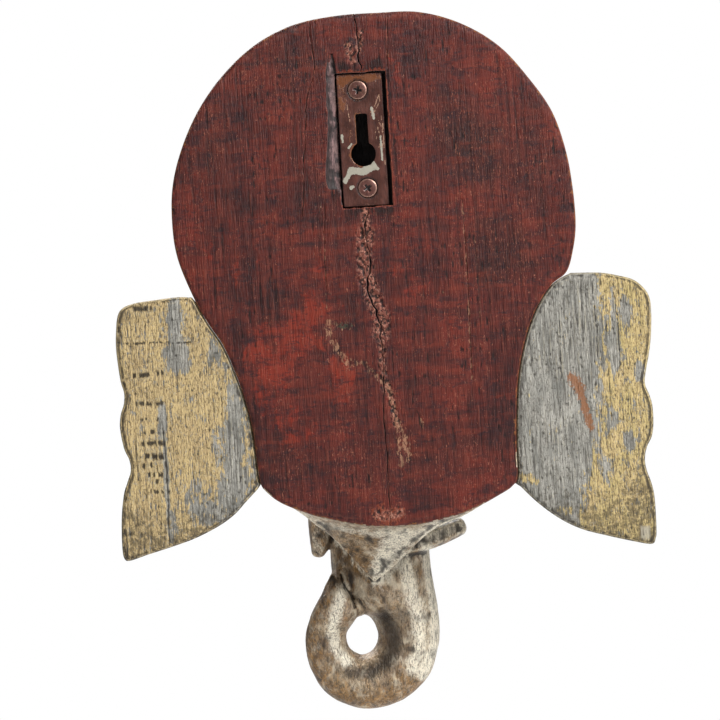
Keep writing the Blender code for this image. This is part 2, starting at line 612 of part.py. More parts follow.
def make_head(surface):
    """The block: an exact board with the carving, blended into one skin, joined to its front."""
    board = extruded("head", HEAD_EDGE, 0, BOARD_DEPTH, surface)
    carved_edge = offset_outline(HEAD_EDGE, -CARVING_INSET)
    centre = (MIDDLE_X, CARVING_CENTRE_Z)
    relief = relief_slab("relief_form", carved_edge, centre, CARVING_BACK, carving_depth, CARVING_RINGS)
    forms = [
        relief,
        jaw_form(),
        trunk_form(),
        swept_form("web_form", WEB_LINE),
        swept_form("left_tusk_form", LEFT_TUSK_LINE),
        swept_form("right_tusk_form", RIGHT_TUSK_LINE),
    ]
    carving = join(forms, "carving_form")
    blend = carving.modifiers.new("Blend", "REMESH")
    blend.mode = "VOXEL"
    blend.voxel_size = CARVING_VOXEL
    blend.use_smooth_shade = True
    ease = carving.modifiers.new("Ease", "SMOOTH")
    ease.factor = 0.5
    ease.iterations = 2
    graph = bpy.context.evaluated_depsgraph_get()
    dense = len(carving.evaluated_get(graph).to_mesh().polygons) * 2
    lighten = carving.modifiers.new("Lighten", "DECIMATE")
    lighten.ratio = CARVING_TRIANGLES / dense
    add_boolean(board, carving, "UNION")
    for cutter in pocket_cutters():
        add_boolean(board, cutter, "DIFFERENCE")
    return board


def keyhole_outline(margin, steps=20):
    """The slot with its round entry below, grown by a margin."""
    radius = KEYHOLE_RADIUS + margin
    half = SLOT_WIDTH / 2 + margin
    centre = SLOT_TOP - KEYHOLE_DROP
    start = math.asin(half / radius)
    points = [(half, SLOT_TOP + margin)]
    for k in range(steps + 1):
        turn = start + (2 * math.pi - 2 * start) * k / steps
        points.append((radius * math.sin(turn), centre + radius * math.cos(turn)))
    points.append((-half, SLOT_TOP + margin))
    return np.array(points)


def box_outline(x0, x1, z0, z1):
    return np.array([(x0, z0), (x0, z1), (x1, z1), (x1, z0)])


def circle_outline(radius, x, z, steps=12):
    turns = [2 * math.pi * k / steps for k in range(steps)]
    return np.array([(x + radius * math.cos(t), z + radius * math.sin(t)) for t in turns])


def pocket_cutters():
    """What is cut from the back: the plate's pocket, the room behind the keyhole, the pilot
    holes, the sliver that broke from the pocket's left side, and the cracks."""
    half = PLATE_WIDTH / 2
    floor = PLATE_RECESS + PLATE_THICKNESS + FIT_GAP
    pocket = extruded(
        "pocket_cutter",
        box_outline(-half - POCKET_SLACK_RIGHT, half + POCKET_SLACK_LEFT,
                    PLATE_BOTTOM - POCKET_SLACK_END, PLATE_TOP + POCKET_SLACK_END),
        -CUTTER_PROUD, floor,
    )
    cavity = extruded("cavity_cutter", keyhole_outline(CAVITY_MARGIN), floor - CUTTER_PROUD,
                      floor + CAVITY_DEPTH)
    pilots = [
        extruded(f"{name}_pilot_cutter", circle_outline(SCREW_SHANK_RADIUS + FIT_GAP, x, z),
                 floor - CUTTER_PROUD, PLATE_RECESS + SCREW_LENGTH + PILOT_SLACK)
        for name, (x, z) in SCREW_PLACES.items()
    ]
    upper = crack_cutter("upper_crack_cutter", UPPER_CRACK)
    lower = crack_cutter("lower_crack_cutter", LOWER_CRACK)
    return [pocket, cavity, *pilots, splinter_cutter(), upper, lower]


def lofted(bm, loops, name):
    """A closed form through loops of points that all have the same count."""
    rows = [[bm.verts.new(point) for point in loop] for loop in loops]
    for first, second in zip(rows, rows[1:]):
        for i in range(len(first)):
            j = (i + 1) % len(first)
            bm.faces.new((first[i], first[j], second[j], second[i]))
    bm.faces.new(rows[0])
    bm.faces.new(list(reversed(rows[-1])))
    return object_from(bm, name)


def crack_cutter(name, line):
    """A notch along a line on the back, narrowing to nothing at its floor."""
    proud = BACK_Y + CUTTER_PROUD / 2
    return lofted(bmesh.new(), [
        ((x * MM - half * MM * 1.3, proud, z * MM), (x * MM + half * MM * 1.3, proud, z * MM),
         (x * MM, BACK_Y - CRACK_DEPTH, z * MM))
        for x, z, half in line
    ], name)


def splinter_cutter():
    """A long facet that slopes from the back's surface down into the pocket."""
    proud = BACK_Y + CUTTER_PROUD
    return lofted(bmesh.new(), [
        ((inner * MM - CUTTER_PROUD, proud, z * MM), (outer * MM + 0.4 * MM, proud, z * MM),
         (outer * MM, BACK_Y, z * MM), (inner * MM, BACK_Y - depth * MM, z * MM),
         (inner * MM - CUTTER_PROUD, BACK_Y - depth * MM, z * MM))
        for outer, inner, z, depth in SPLINTER_LINE
    ], "splinter_cutter")


def make_plate(surface):
    """A steel strip with a keyhole and two countersunk holes."""
    half = PLATE_WIDTH / 2
    near, far = PLATE_RECESS, PLATE_RECESS + PLATE_THICKNESS
    plate = extruded("hanger_plate", box_outline(-half, half, PLATE_BOTTOM, PLATE_TOP), near, far, surface)
    keyhole = extruded("keyhole_cutter", keyhole_outline(0), near - CUTTER_PROUD, far + CUTTER_PROUD)
    add_boolean(plate, keyhole, "DIFFERENCE")
    for name, place in SCREW_PLACES.items():
        sink = screw_profile(f"{name}_countersink_cutter", place, FIT_GAP, SCREW_LENGTH)
        add_boolean(plate, sink, "DIFFERENCE")
    return plate


def screw_profile(name, place, margin, length, surface=None, steps=20):
    """A countersunk screw turned about its axis, grown by a margin all round."""
    head = SCREW_HEAD_RADIUS + margin
    shank = SCREW_SHANK_RADIUS + margin
    crown = SCREW_CROWN + margin
    rows = [
        (0.0, -crown), (head * 0.45, -crown * 0.86), (head * 0.8, -crown * 0.45), (head, -margin),
        (head, SCREW_EDGE), (shank, SCREW_HEAD_DEPTH + margin), (shank, length - SCREW_POINT),
        (0.0, length),
    ]
    bm = bmesh.new()
    loops = []
    for radius, depth in rows:
        y = BACK_Y - PLATE_RECESS - depth
        if radius == 0.0:
            loops.append([bm.verts.new((place[0], y, place[1]))])
            continue
        loops.append([
            bm.verts.new((x, y, z)) for x, z in circle_outline(radius, *place, steps)
        ])
    for first, second in zip(loops, loops[1:]):
        for k in range(steps):
            n = (k + 1) % steps
            if len(first) == 1:
                bm.faces.new((first[0], second[n], second[k]))
            elif len(second) == 1:
                bm.faces.new((first[k], first[n], second[0]))
            else:
                bm.faces.new((first[k], first[n], second[n], second[k]))
    return object_from(bm, name, surface)


def make_screw(name, place, surface):
    """A wood screw with a low crown and a cross recess."""
    x, z = place
    screw = screw_profile(name, place, 0.0, SCREW_LENGTH, surface)
    deep = CROSS_DEPTH - SCREW_CROWN
    half_span, half_width = CROSS_SPAN / 2, CROSS_WIDTH / 2
    upright = box_outline(x - half_width, x + half_width, z - half_span, z + half_span)
    level = box_outline(x - half_span, x + half_span, z - half_width, z + half_width)
    for label, outline in (("upright", upright), ("level", level)):
        proud = PLATE_RECESS - SCREW_CROWN - CUTTER_PROUD
        cutter = extruded(f"{name}_{label}_cutter", outline, proud, PLATE_RECESS + deep)
        add_boolean(screw, cutter, "DIFFERENCE")
    return screw


def ear_outline(edge, first_height, last_height, side):
    """The ear's closed edge: the free edge, then back up along the head with the joint's gap."""
    free = spline_points(edge, EAR_SPAN_POINTS, closed=False) * MM
    seat = offset_outline(HEAD_EDGE, FIT_GAP)
    within = (seat[:, 1] < first_height) & (seat[:, 1] > last_height)
    beside = seat[(seat[:, 0] * side > EAR_SEAT_SIDE) & within]
    beside = beside[np.argsort(beside[:, 1])]
    return np.concatenate([free, beside])


def make_ear(name, edge, centre_mm, side, surface):
    top = edge[0][1] * MM - EAR_SEAT_TRIM
    bottom = edge[-1][1] * MM + EAR_SEAT_TRIM
    outline = ear_outline(edge, top, bottom, side)
    centre = np.array(centre_mm) * MM
    half_size = (outline.max(0) - outline.min(0)) / 2

    def depth_at(x, z):
        return EAR_BACK_STEP + ear_depth(x, z, centre, half_size)

    return relief_slab(
        name, outline, centre, EAR_BACK_STEP, depth_at, EAR_RINGS, EAR_RIM_RISE, EAR_BEVEL, surface
    )


def main():
    clear_scene()
    painted_wood = material("painted wood", (0.19, 0.045, 0.03), 0.55)
    gilded_wood = material("gilded wood", (0.56, 0.43, 0.21), 0.5, 0.3)
    plate_steel = material("painted steel", (0.16, 0.05, 0.035), 0.5, 0.4)
    screw_steel = material("screw steel", (0.14, 0.08, 0.065), 0.45, 0.7)
    make_head(painted_wood)
    make_ear("left_ear", LEFT_EAR_EDGE, LEFT_EAR_CENTRE, 1, gilded_wood)
    make_ear("right_ear", RIGHT_EAR_EDGE, RIGHT_EAR_CENTRE, -1, gilded_wood)
    make_plate(plate_steel)
    for name, place in SCREW_PLACES.items():
        make_screw(name, place, screw_steel)


main()
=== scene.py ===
# %% [markdown]
# # A carved elephant mask, seen from its painted back
#
# The real object is a wooden wall mask: one carved block with a flat back, two ear boards, and a
# keyhole plate with two screws to hang it by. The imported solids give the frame, in metres, +Z up,
# with the flat back towards +Y. This lesson dresses them: each step says what a piece is on the
# real mask, how it could be made, and why it is made the way it is here.

import itertools
import math

import bmesh
import bpy
import numpy as np
from mathutils import Matrix, Vector
from mathutils.geometry import delaunay_2d_cdt


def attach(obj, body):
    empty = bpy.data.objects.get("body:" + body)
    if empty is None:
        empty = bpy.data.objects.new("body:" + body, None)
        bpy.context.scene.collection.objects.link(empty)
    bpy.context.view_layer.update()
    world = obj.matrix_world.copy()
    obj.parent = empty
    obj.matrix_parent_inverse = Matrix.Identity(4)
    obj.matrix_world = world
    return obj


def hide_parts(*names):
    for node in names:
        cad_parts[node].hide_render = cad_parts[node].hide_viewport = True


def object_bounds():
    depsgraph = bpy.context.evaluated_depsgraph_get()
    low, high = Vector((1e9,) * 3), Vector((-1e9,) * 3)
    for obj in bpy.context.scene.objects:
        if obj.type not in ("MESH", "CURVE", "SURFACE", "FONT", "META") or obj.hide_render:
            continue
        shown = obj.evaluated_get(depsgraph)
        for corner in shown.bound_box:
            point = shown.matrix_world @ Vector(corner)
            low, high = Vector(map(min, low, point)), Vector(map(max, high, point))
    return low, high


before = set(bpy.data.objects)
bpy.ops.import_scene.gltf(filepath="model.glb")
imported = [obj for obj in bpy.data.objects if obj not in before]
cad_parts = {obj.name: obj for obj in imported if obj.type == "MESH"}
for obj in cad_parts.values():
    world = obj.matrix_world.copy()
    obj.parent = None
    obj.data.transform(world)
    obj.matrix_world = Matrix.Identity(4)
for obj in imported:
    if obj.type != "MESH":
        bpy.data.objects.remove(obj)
cad_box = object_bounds()
MM = 0.001
print("solids:", sorted(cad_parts))

# %% [markdown]
# ## Small tools for shapes
#
# Carving is easiest to describe as a depth below the flat back at each point (x, z) of the board.
# A few smooth functions are enough to write petals, eyes and grain that way: a step, a bell, a
# dome and a blend of two depths. A repeatable noise made from whole-number arithmetic gives the
# unevenness of hand work, the same at every run.

# %% Smooth functions and noise
PRIMES = np.array([73856093, 19349663, 83492791])


def smooth_step(low, high, value):
    t = np.clip((value - low) / (high - low), 0, 1)
    return t * t * (3 - 2 * t)


def bell(value, half_width):
    t = np.clip(np.abs(value) / half_width, 0, 1)
    return (1 - t * t) ** 2


def dome(u, v, power=2.0):
    return np.maximum(0, 1 - np.abs(u) ** power - np.abs(v) ** power) ** (1 / power)


def soft_max(a, b, width):
    mix = np.clip(0.5 + 0.5 * (a - b) / width, 0, 1)
    return b + (a - b) * mix + width * mix * (1 - mix)


def noise(places, seed=0):
    """Smooth random values from -1 to 1, where one unit of place is one feature."""
    cell = np.floor(places).astype(np.int64)
    part = places - cell
    part = part * part * (3 - 2 * part)
    total = np.zeros(len(places))
    for corner in itertools.product((0, 1), repeat=places.shape[1]):
        key = ((cell + corner) * PRIMES[: places.shape[1]]).sum(1) + seed * 7919
        key = ((key ^ (key >> 13)) * 1274126177) & 0x7FFFFFFF
        value = ((key ^ (key >> 16)) & 0xFFFF) / 32767.5 - 1
        total += np.prod(np.where(corner, part, 1 - part), axis=1) * value
    return total


def noise_at(x, z, pitch_x, pitch_z, seed=0):
    """Noise over the board, with its own feature size across and along the grain."""
    return noise(np.stack([np.ravel(x) / pitch_x, np.ravel(z) / pitch_z], axis=1), seed).reshape(np.shape(x))


sample = noise(np.random.default_rng(1).random((2000, 2)) * 40)
print("noise spans", sample.min().round(2), "to", sample.max().round(2))

# %% [markdown]
# ## Outlines, lines and places
#
# An outline is a short list of given points with a smooth curve through them, as a carver
# would mark it on the board. The same curve helper serves the trunk, the tusks and the cracks.
# Distances to such lines tell later where to cut, crumble or chip.

# %% Curves and distances


def spline_points(points, spans, closed):
    p = np.array(points, float)
    count = len(p)
    out = []
    for i in range(count if closed else count - 1):
        a, b, c, d = (
            p[(i + k) % count] if closed else p[min(max(i + k, 0), count - 1)]
            for k in (-1, 0, 1, 2)
        )
        for step in range(spans):
            t = step / spans
            out.append(
                0.5 * (2 * b + (c - a) * t + (2 * a - 5 * b + 4 * c - d) * t**2
                       + (3 * b - a - 3 * c + d) * t**3)
            )
    if not closed:
        out.append(p[-1])
    return np.array(out)


def offset_outline(outline, distance):
    """A closed outline moved outwards by a distance."""
    x, z = outline.T
    if np.sum(x * np.roll(z, -1) - z * np.roll(x, -1)) > 0:
        distance = -distance
    ahead = np.roll(outline, -1, axis=0) - outline
    behind = outline - np.roll(outline, 1, axis=0)
    ahead /= np.linalg.norm(ahead, axis=1)[:, None]
    behind /= np.linalg.norm(behind, axis=1)[:, None]
    normals = np.stack([-(ahead + behind)[:, 1], (ahead + behind)[:, 0]], axis=1)
    normals /= np.linalg.norm(normals, axis=1)[:, None]
    edge_normals = np.stack([-ahead[:, 1], ahead[:, 0]], axis=1)
    half_turn = np.maximum(0.6, np.sum(normals * edge_normals, axis=1))
    return outline + normals * (distance / half_turn)[:, None]


def distance_to(places, line, closed=False):
    """Distance of each (x, z) place to a line of points."""
    best = np.full(len(places), np.inf)
    ends = np.roll(line, -1, axis=0) if closed else line[1:]
    for a, b in zip(line, ends):
        along = b - a
        share = np.clip(((places - a) @ along) / max(along @ along, 1e-18), 0, 1)
        best = np.minimum(best, np.hypot(*(places - a - share[:, None] * along).T))
    return best


def inside(places, loop):
    """Which (x, z) places lie inside a closed loop, by counting the edges to one side."""
    x, z = places.T
    result = np.zeros(len(places), bool)
    for (x0, z0), (x1, z1) in zip(loop, np.roll(loop, -1, axis=0)):
        if z0 != z1:
            result ^= ((z0 > z) != (z1 > z)) & (x < (x1 - x0) * (z - z0) / (z1 - z0) + x0)
    return result


def near_strokes(places, strokes):
    """One on a stroke of a brush or a blade, fading to nothing at its half width.
    A stroke is (half width, points, strength if it isn't 1), in millimetres."""
    best = np.zeros(len(places))
    for half, line, *strength in strokes:
        cover = bell(distance_to(places, np.array(line, float) * MM), half * MM)
        best = np.maximum(best, cover * (strength[0] if strength else 1))
    return best


def blobs(places, spots):
    """Soft round spots added up. A spot is (x, z, half width, half height, strength), in mm."""
    total = np.zeros(len(places))
    for x, z, wide, tall, strength in spots:
        reach = np.hypot((places[:, 0] - x * MM) / (wide * MM), (places[:, 1] - z * MM) / (tall * MM))
        total += strength * smooth_step(1.0, 0.3, reach)
    return total


# %% [markdown]
# ## The board's outline and the ears' edges
#
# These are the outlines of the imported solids, so every piece here stays on the piece it stands
# for. They are read again at a finer step, which makes the curves round even close up.

# %% Outlines
PLATE_RECESS = 1.6 * MM
BACK_Y = PLATE_RECESS
MIDDLE_X = -2.6 * MM
HEAD_OUTLINE = [
    (-9, 37.9), (9, 37.6), (27.1, 34.7), (43.3, 27.2), (57.2, 15.5), (68, 1.8), (75.8, -13.2),
    (80.8, -28.9), (82.1, -44.8), (80.7, -60.1), (74.9, -77.2), (69.9, -87.6), (64, -97.6),
    (59.9, -108.3), (56.2, -120.6), (53.6, -134), (52.6, -148), (51.8, -156), (49.3, -160.5),
    (41.5, -166.5), (23.5, -173.7), (4.3, -177.6), (-15.4, -177.7), (-34.7, -173.6),
    (-49.4, -167), (-54.3, -163.9), (-56.4, -160.4), (-56.7, -150), (-57.4, -136), (-59.2, -119),
    (-63.3, -102.6), (-68.8, -90), (-75.5, -80.8), (-82.2, -75.6), (-85.5, -66.5), (-87.3, -55.4),
    (-86.9, -40.1), (-84.9, -24.1), (-80.1, -7.8), (-71, 7), (-59.5, 21), (-44.4, 31.2),
    (-27.2, 37.1),
]
LEFT_EAR_EDGE = [
    (76, -76.8), (82, -76.3), (92, -77), (100.1, -77.8), (105.1, -79.5), (107.5, -82.9),
    (108.6, -90), (108.9, -98), (107.9, -110), (106.7, -115.2), (107.1, -119.9), (108.7, -124.4),
    (109.3, -130.1), (108.1, -138.6), (106.2, -143.5), (105.9, -148.2), (107.4, -152.4),
    (109.4, -158), (110.9, -168), (111.4, -180), (110.7, -184.9), (108.3, -185.8),
    (100.6, -183.7), (89.9, -180.9), (80, -177.9), (70.2, -173.5), (63.4, -169.1), (58.3, -164.1),
    (53.2, -159.2),
]
RIGHT_EAR_EDGE = [
    (-84, -76.2), (-95.9, -76.8), (-103.9, -78.5), (-110.2, -80.7), (-114.5, -84.7), (-116.5, -89),
    (-116.8, -95.4), (-116, -105), (-114.6, -112.9), (-112.7, -120.9), (-112.4, -125),
    (-113.8, -129.1), (-114.9, -134), (-114.9, -141.2), (-113.9, -146.8), (-111.5, -151.4),
    (-110.4, -156.3), (-110.9, -161), (-112.6, -166.7), (-113.5, -173), (-113.5, -185.4),
    (-112.9, -189.8), (-111, -192.1), (-103.4, -190.5), (-92.3, -187.4), (-81.9, -184),
    (-73.1, -179.1), (-64.6, -172.2), (-57.8, -164.9),
]
HEAD_EDGE = spline_points(HEAD_OUTLINE, 9, closed=True) * MM
print("outline:", len(HEAD_EDGE), "points,", HEAD_EDGE.min(0).round(4), "to", HEAD_EDGE.max(0).round(4))

# %% [markdown]
# ## From depths to a closed board
#
# A sheet of scattered points joined by a Delaunay mesh follows any outline and can be denser
# where there is more to show, which a plain grid can't do. Two such sheets, one for the back and
# one for the front, with a rounded wall between them, make a closed board whose two faces both
# carry real relief.

# %% Sheets and boards


def scatter(loop, step_x, step_z, seed):
    """Jittered grid points well inside a loop."""
    low, high = loop.min(0), loop.max(0)
    x, z = np.meshgrid(np.arange(low[0], high[0], step_x), np.arange(low[1], high[1], step_z))
    places = np.stack([x.ravel(), z.ravel()], axis=1)
    shake = np.random.default_rng(seed).random(places.shape) - 0.5
    places += shake * (0.5 * step_x, 0.5 * step_z)
    places = places[inside(places, loop)]
    return places[distance_to(places, loop, closed=True) > 0.6 * min(step_x, step_z)]


def sheet_of(loop, places, stretch):
    """Points and triangles that fill a loop; stretch is how much longer than wide they are."""
    count = len(loop)
    flat = np.concatenate([loop, places]) / MM
    flat[:, 1] /= stretch
    edges = [(i, (i + 1) % count) for i in range(count)]
    coords, _, faces, origins, _, _ = delaunay_2d_cdt([Vector(p) for p in flat], edges, [], 1, 1e-5)
    points = np.array([tuple(p) for p in coords])
    points[:, 1] *= stretch
    rim = np.zeros(count, int)
    for i, found in enumerate(origins):
        for origin in found:
            if origin < count:
                rim[origin] = i
    return points * MM, np.array(faces), rim


def linked(name, data):
    """A new object with this data, in the scene."""
    made = bpy.data.objects.new(name, data)
    bpy.context.scene.collection.objects.link(made)
    return made


def mesh_object(name, points, faces, surfaces=()):
    """An object from points and faces, its faces turned outwards and shaded smooth."""
    mesh = bpy.data.meshes.new(name)
    mesh.from_pydata(np.asarray(points).tolist(), [], [list(map(int, face)) for face in faces])
    bm = bmesh.new()
    bm.from_mesh(mesh)
    bmesh.ops.recalc_face_normals(bm, faces=bm.faces)
    bm.to_mesh(mesh)
    bm.free()
    mesh.shade_smooth()
    for surface in surfaces:
        mesh.materials.append(surface)
    return linked(name, mesh)


def band(first, second):
    """The four-sided faces between two rings of point numbers."""
    return list(zip(first, np.roll(first, -1), np.roll(second, -1), second))


def in_space(places, depth):
    """(x, z) places and their depth below the flat back, as points in space."""
    return np.stack([places[:, 0], BACK_Y - depth, places[:, 1]], axis=1)


def board(name, outline, places, stretch, bevel, back_at, front_at):
    """A closed board: a sheet behind, the same sheet in front, and a rounded wall."""
    rim_loop = offset_outline(outline, -bevel)
    flat, triangles, rim = sheet_of(rim_loop, places, stretch)
    back, front = in_space(flat, back_at(flat)), in_space(flat, front_at(flat))
    edge_back, edge_front = back_at(rim_loop), front_at(rim_loop)
    rows = []
    for share in (0.3, 1.0):
        turn = math.asin(share)
        wall = offset_outline(outline, -bevel * (1 - share))
        rows.append(in_space(wall, edge_back + bevel * (1 - math.cos(turn))))
    straight = edge_front - edge_back - 2 * bevel
    rows += [in_space(outline, edge_back + bevel + straight * share) for share in (0.5, 1.0)]
    points = np.concatenate([back, front, *rows])
    base, count = len(flat), len(outline)
    loops = [rim, *[2 * base + count * k + np.arange(count) for k in range(len(rows))], base + rim]
    faces = [*triangles, *(triangles + base)[:, ::-1]]
    for first, second in zip(loops, loops[1:]):
        faces += band(first, second)
    return mesh_object(name, points, faces)


def apply_modifiers(obj):
    """The object's evaluated mesh becomes its own, and the modifiers go."""
    graph = bpy.context.evaluated_depsgraph_get()
    mesh = bpy.data.meshes.new_from_object(
        obj.evaluated_get(graph), preserve_all_data_layers=True, depsgraph=graph,
    )
    obj.modifiers.clear()
    obj.data = mesh
    return obj


def combine(target, others, operation):
    """Boolean of the target with each of the others, applied, and the others removed."""
    for other in others:
        modifier = target.modifiers.new(other.name, "BOOLEAN")
        modifier.operation = operation
        modifier.object = other
        apply_modifiers(target)
        bpy.data.objects.remove(other)
    return target


def triangles_in(obj):
    obj.data.calc_loop_triangles()
    return len(obj.data.loop_triangles)


# %% [markdown]
# ## Closed forms along a line
#
# The trunk, the tusks and the lip are lofts: rings of points joined one after the other. The
# trunk's rings span its two measured edges, so its silhouette from behind is exact even where
# it bends tightly, which a tube swept along a centre line would not keep.

# %% Lofts
RING_POINTS = 64


def lofted(name, loops):
    """A closed form through rings with the same count of points."""
    loops = [np.asarray(loop) for loop in loops]
    count = len(loops[0])
    rings = np.arange(len(loops) * count).reshape(-1, count)
    faces = []
    for first, second in zip(rings, rings[1:]):
        faces += band(first, second)
    faces += [rings[0], rings[-1]]
    return mesh_object(name, np.concatenate(loops), faces)


def tube(name, centres, sides, fronts, backs, facets=0):
    """A tube with domed ends; each ring has its own half widths sideways, forward and back.
    With facets, the rings are rounded polygons, as a knife leaves a peg."""
    turns = np.linspace(0, 2 * math.pi, RING_POINTS, endpoint=False)
    reach = np.ones(RING_POINTS)
    if facets:
        half_side = math.pi / facets
        reach = math.cos(half_side) / np.cos((turns + 0.35) % (2 * half_side) - half_side)
        reach = 0.12 + 0.88 * reach
    across = (np.cos(turns) * reach)[:, None]
    ahead = (np.maximum(0, np.sin(turns)) * reach)[:, None]
    behind = (np.maximum(0, -np.sin(turns)) * reach)[:, None]
    rings = []
    for end, before in ((0, 1), (-1, -2)):
        outward = centres[end] - centres[before]
        outward *= np.linalg.norm(sides[end]) * 0.55 / np.linalg.norm(outward)
        caps = [
            centres[end] + outward * math.sin(a)
            + (across * sides[end] + ahead * fronts[end] + behind * backs[end]) * math.cos(a)
            for a in np.linspace(0.2, 1.45, 6)
        ]
        if end == 0:
            rings += caps[::-1]
            for centre, side, front, back in zip(centres, sides, fronts, backs):
                rings.append(centre + across * side + ahead * front + behind * back)
        else:
            rings += caps
    return lofted(name, rings)


def swept(name, line, facets=0, spans=10):
    """A tube along (x, z, depth, radius) points, in millimetres."""
    path = spline_points(line, spans, closed=False) * MM
    centres = in_space(path[:, :2], path[:, 2])
    tangents = np.gradient(centres, axis=0)
    tangents /= np.linalg.norm(tangents, axis=1)[:, None]
    sides = np.cross(tangents, (0.0, 1.0, 0.0))
    sides *= (path[:, 3] / np.linalg.norm(sides, axis=1))[:, None]
    fronts = np.cross(sides, tangents)
    return tube(name, centres, sides, fronts, -fronts, facets)


# %% [markdown]
# ## The carved front, as a depth map
#
# Nobody sees the front in the picture, so it is carved in the tradition of such masks and kept
# quiet: a crown with a petal border, beads and a jewel, a diadem over the forehead, almond eyes
# under long brows, full cheeks, and the ringed trunk. Each is a small function that adds its
# rise to the depth, worked out from named sizes.

# %% Crown, face and diadem
CROWN_CENTRE_Z = -47.0 * MM
CROWN_RADIUS = 86.0 * MM
CROWN_RIM_DEPTH = 19.0 * MM
CROWN_SWELL = 10.0 * MM
CROWN_RIM_WIDTH = 8.0 * MM
CROWN_RIM_ROLL = 1.6 * MM
PETAL_BAND_WIDTH = 19.0 * MM
PETAL_COUNT = 24
PETAL_RISE = 4.8 * MM
BEAD_RING_RADIUS = 52.5 * MM
BEAD_COUNT = 36
BEAD_RADIUS = 3.8 * MM
BEAD_GROOVE_GAP = 1.2 * MM
JEWEL_CENTRE_Z = -32.0 * MM
JEWEL_HALF_HEIGHT = 21.0 * MM
JEWEL_HALF_WIDTH = 12.5 * MM
JEWEL_RISE = 8.0 * MM
SIDE_JEWEL_SPACING = 27.0 * MM
SIDE_JEWEL_DROP = 10.0 * MM
SIDE_JEWEL_SCALE = 0.6
SIDE_JEWEL_LEAN = 0.7
GROOVE_DEPTH = 1.8 * MM
GROOVE_HALF_WIDTH = 2.0 * MM
FACE_CENTRE_Z = -117.0 * MM
FACE_HALF_HEIGHT = 62.0 * MM
FACE_HALF_WIDTH = 60.0 * MM
FACE_RIM_DEPTH = 17.0 * MM
FACE_SWELL = 33.0 * MM
DIADEM_Z = -71.0 * MM
DIADEM_DROP = 12.0 * MM
DIADEM_HALF_HEIGHT = 6.5 * MM
DIADEM_RISE = 4.5 * MM
DIADEM_ROLL = 1.6 * MM
DIADEM_BEADS = 13
DIADEM_BEAD_RADIUS = 3.6 * MM
DIADEM_JEWEL = (8.0 * MM, 10.0 * MM, 5.0 * MM)
FOREHEAD_BOSS = (15.0 * MM, -93.0 * MM, 21.0 * MM, 4.0 * MM)
EYE_SIDE = 31.0 * MM
EYE_Z = -116.0 * MM
EYE_HALF_WIDTH = 11.5 * MM
EYE_HALF_HEIGHT = 6.0 * MM
EYE_LEAN = 0.22
EYE_SOCKET_DEPTH = 3.5 * MM
EYE_STEP = 1.2 * MM
EYE_BALL_RISE = 2.6 * MM
EYELID_RISE = 2.0 * MM
BROW_RISE = 4.5 * MM
CHEEK = (36.0 * MM, -146.0 * MM, 22.0 * MM, 5.0 * MM)
BLEND_WIDTH = 4.0 * MM
FINE_LINE = 0.55 * MM
TRUNK_RING_PITCH = 8.5 * MM
TRUNK_RING_DEPTH = 1.3 * MM
TRUNK_RING_HALF_WIDTH = 1.8 * MM
TRUNK_FLATNESS = 0.82
TRUNK_ROOT = (-92 * MM, MIDDLE_X, 11 * MM, 51 * MM)
TRUNK_RINGED_SECTIONS = 9
# Sections of the trunk between its two edges as seen from behind: (outer x, outer z, inner x,
# inner z, depth), mm.
TRUNK_SECTIONS = [
    (-17, -122, 13, -122, 42), (-20, -146, 18, -146, 47), (-19, -172, 24, -172, 53),
    (-18.7, -196, 25, -194, 54), (-19.6, -207, 23.8, -206.7, 54), (-20.5, -214, 17, -216.3, 54),
    (-20.9, -219.5, 9.7, -219.5, 54), (-21.1, -227.4, 6.8, -224.8, 54),
    (-19.9, -234.8, 6.6, -229.5, 54), (-15, -246.8, 9, -234, 54), (-3.3, -256.8, 13.1, -235.8, 54),
    (13.4, -259.8, 16.2, -234.8, 53), (28.4, -253.4, 18.5, -232.4, 51),
    (36.3, -240.9, 19.8, -228.7, 48), (38, -228, 19.2, -224.6, 45), (35.2, -217, 15.3, -219.3, 41),
    (30.5, -208.6, 14.6, -214.8, 38), (27.5, -203, 17.7, -208.8, 36.5), (24.9, -198.4, 22.4, -200.3, 36),
]


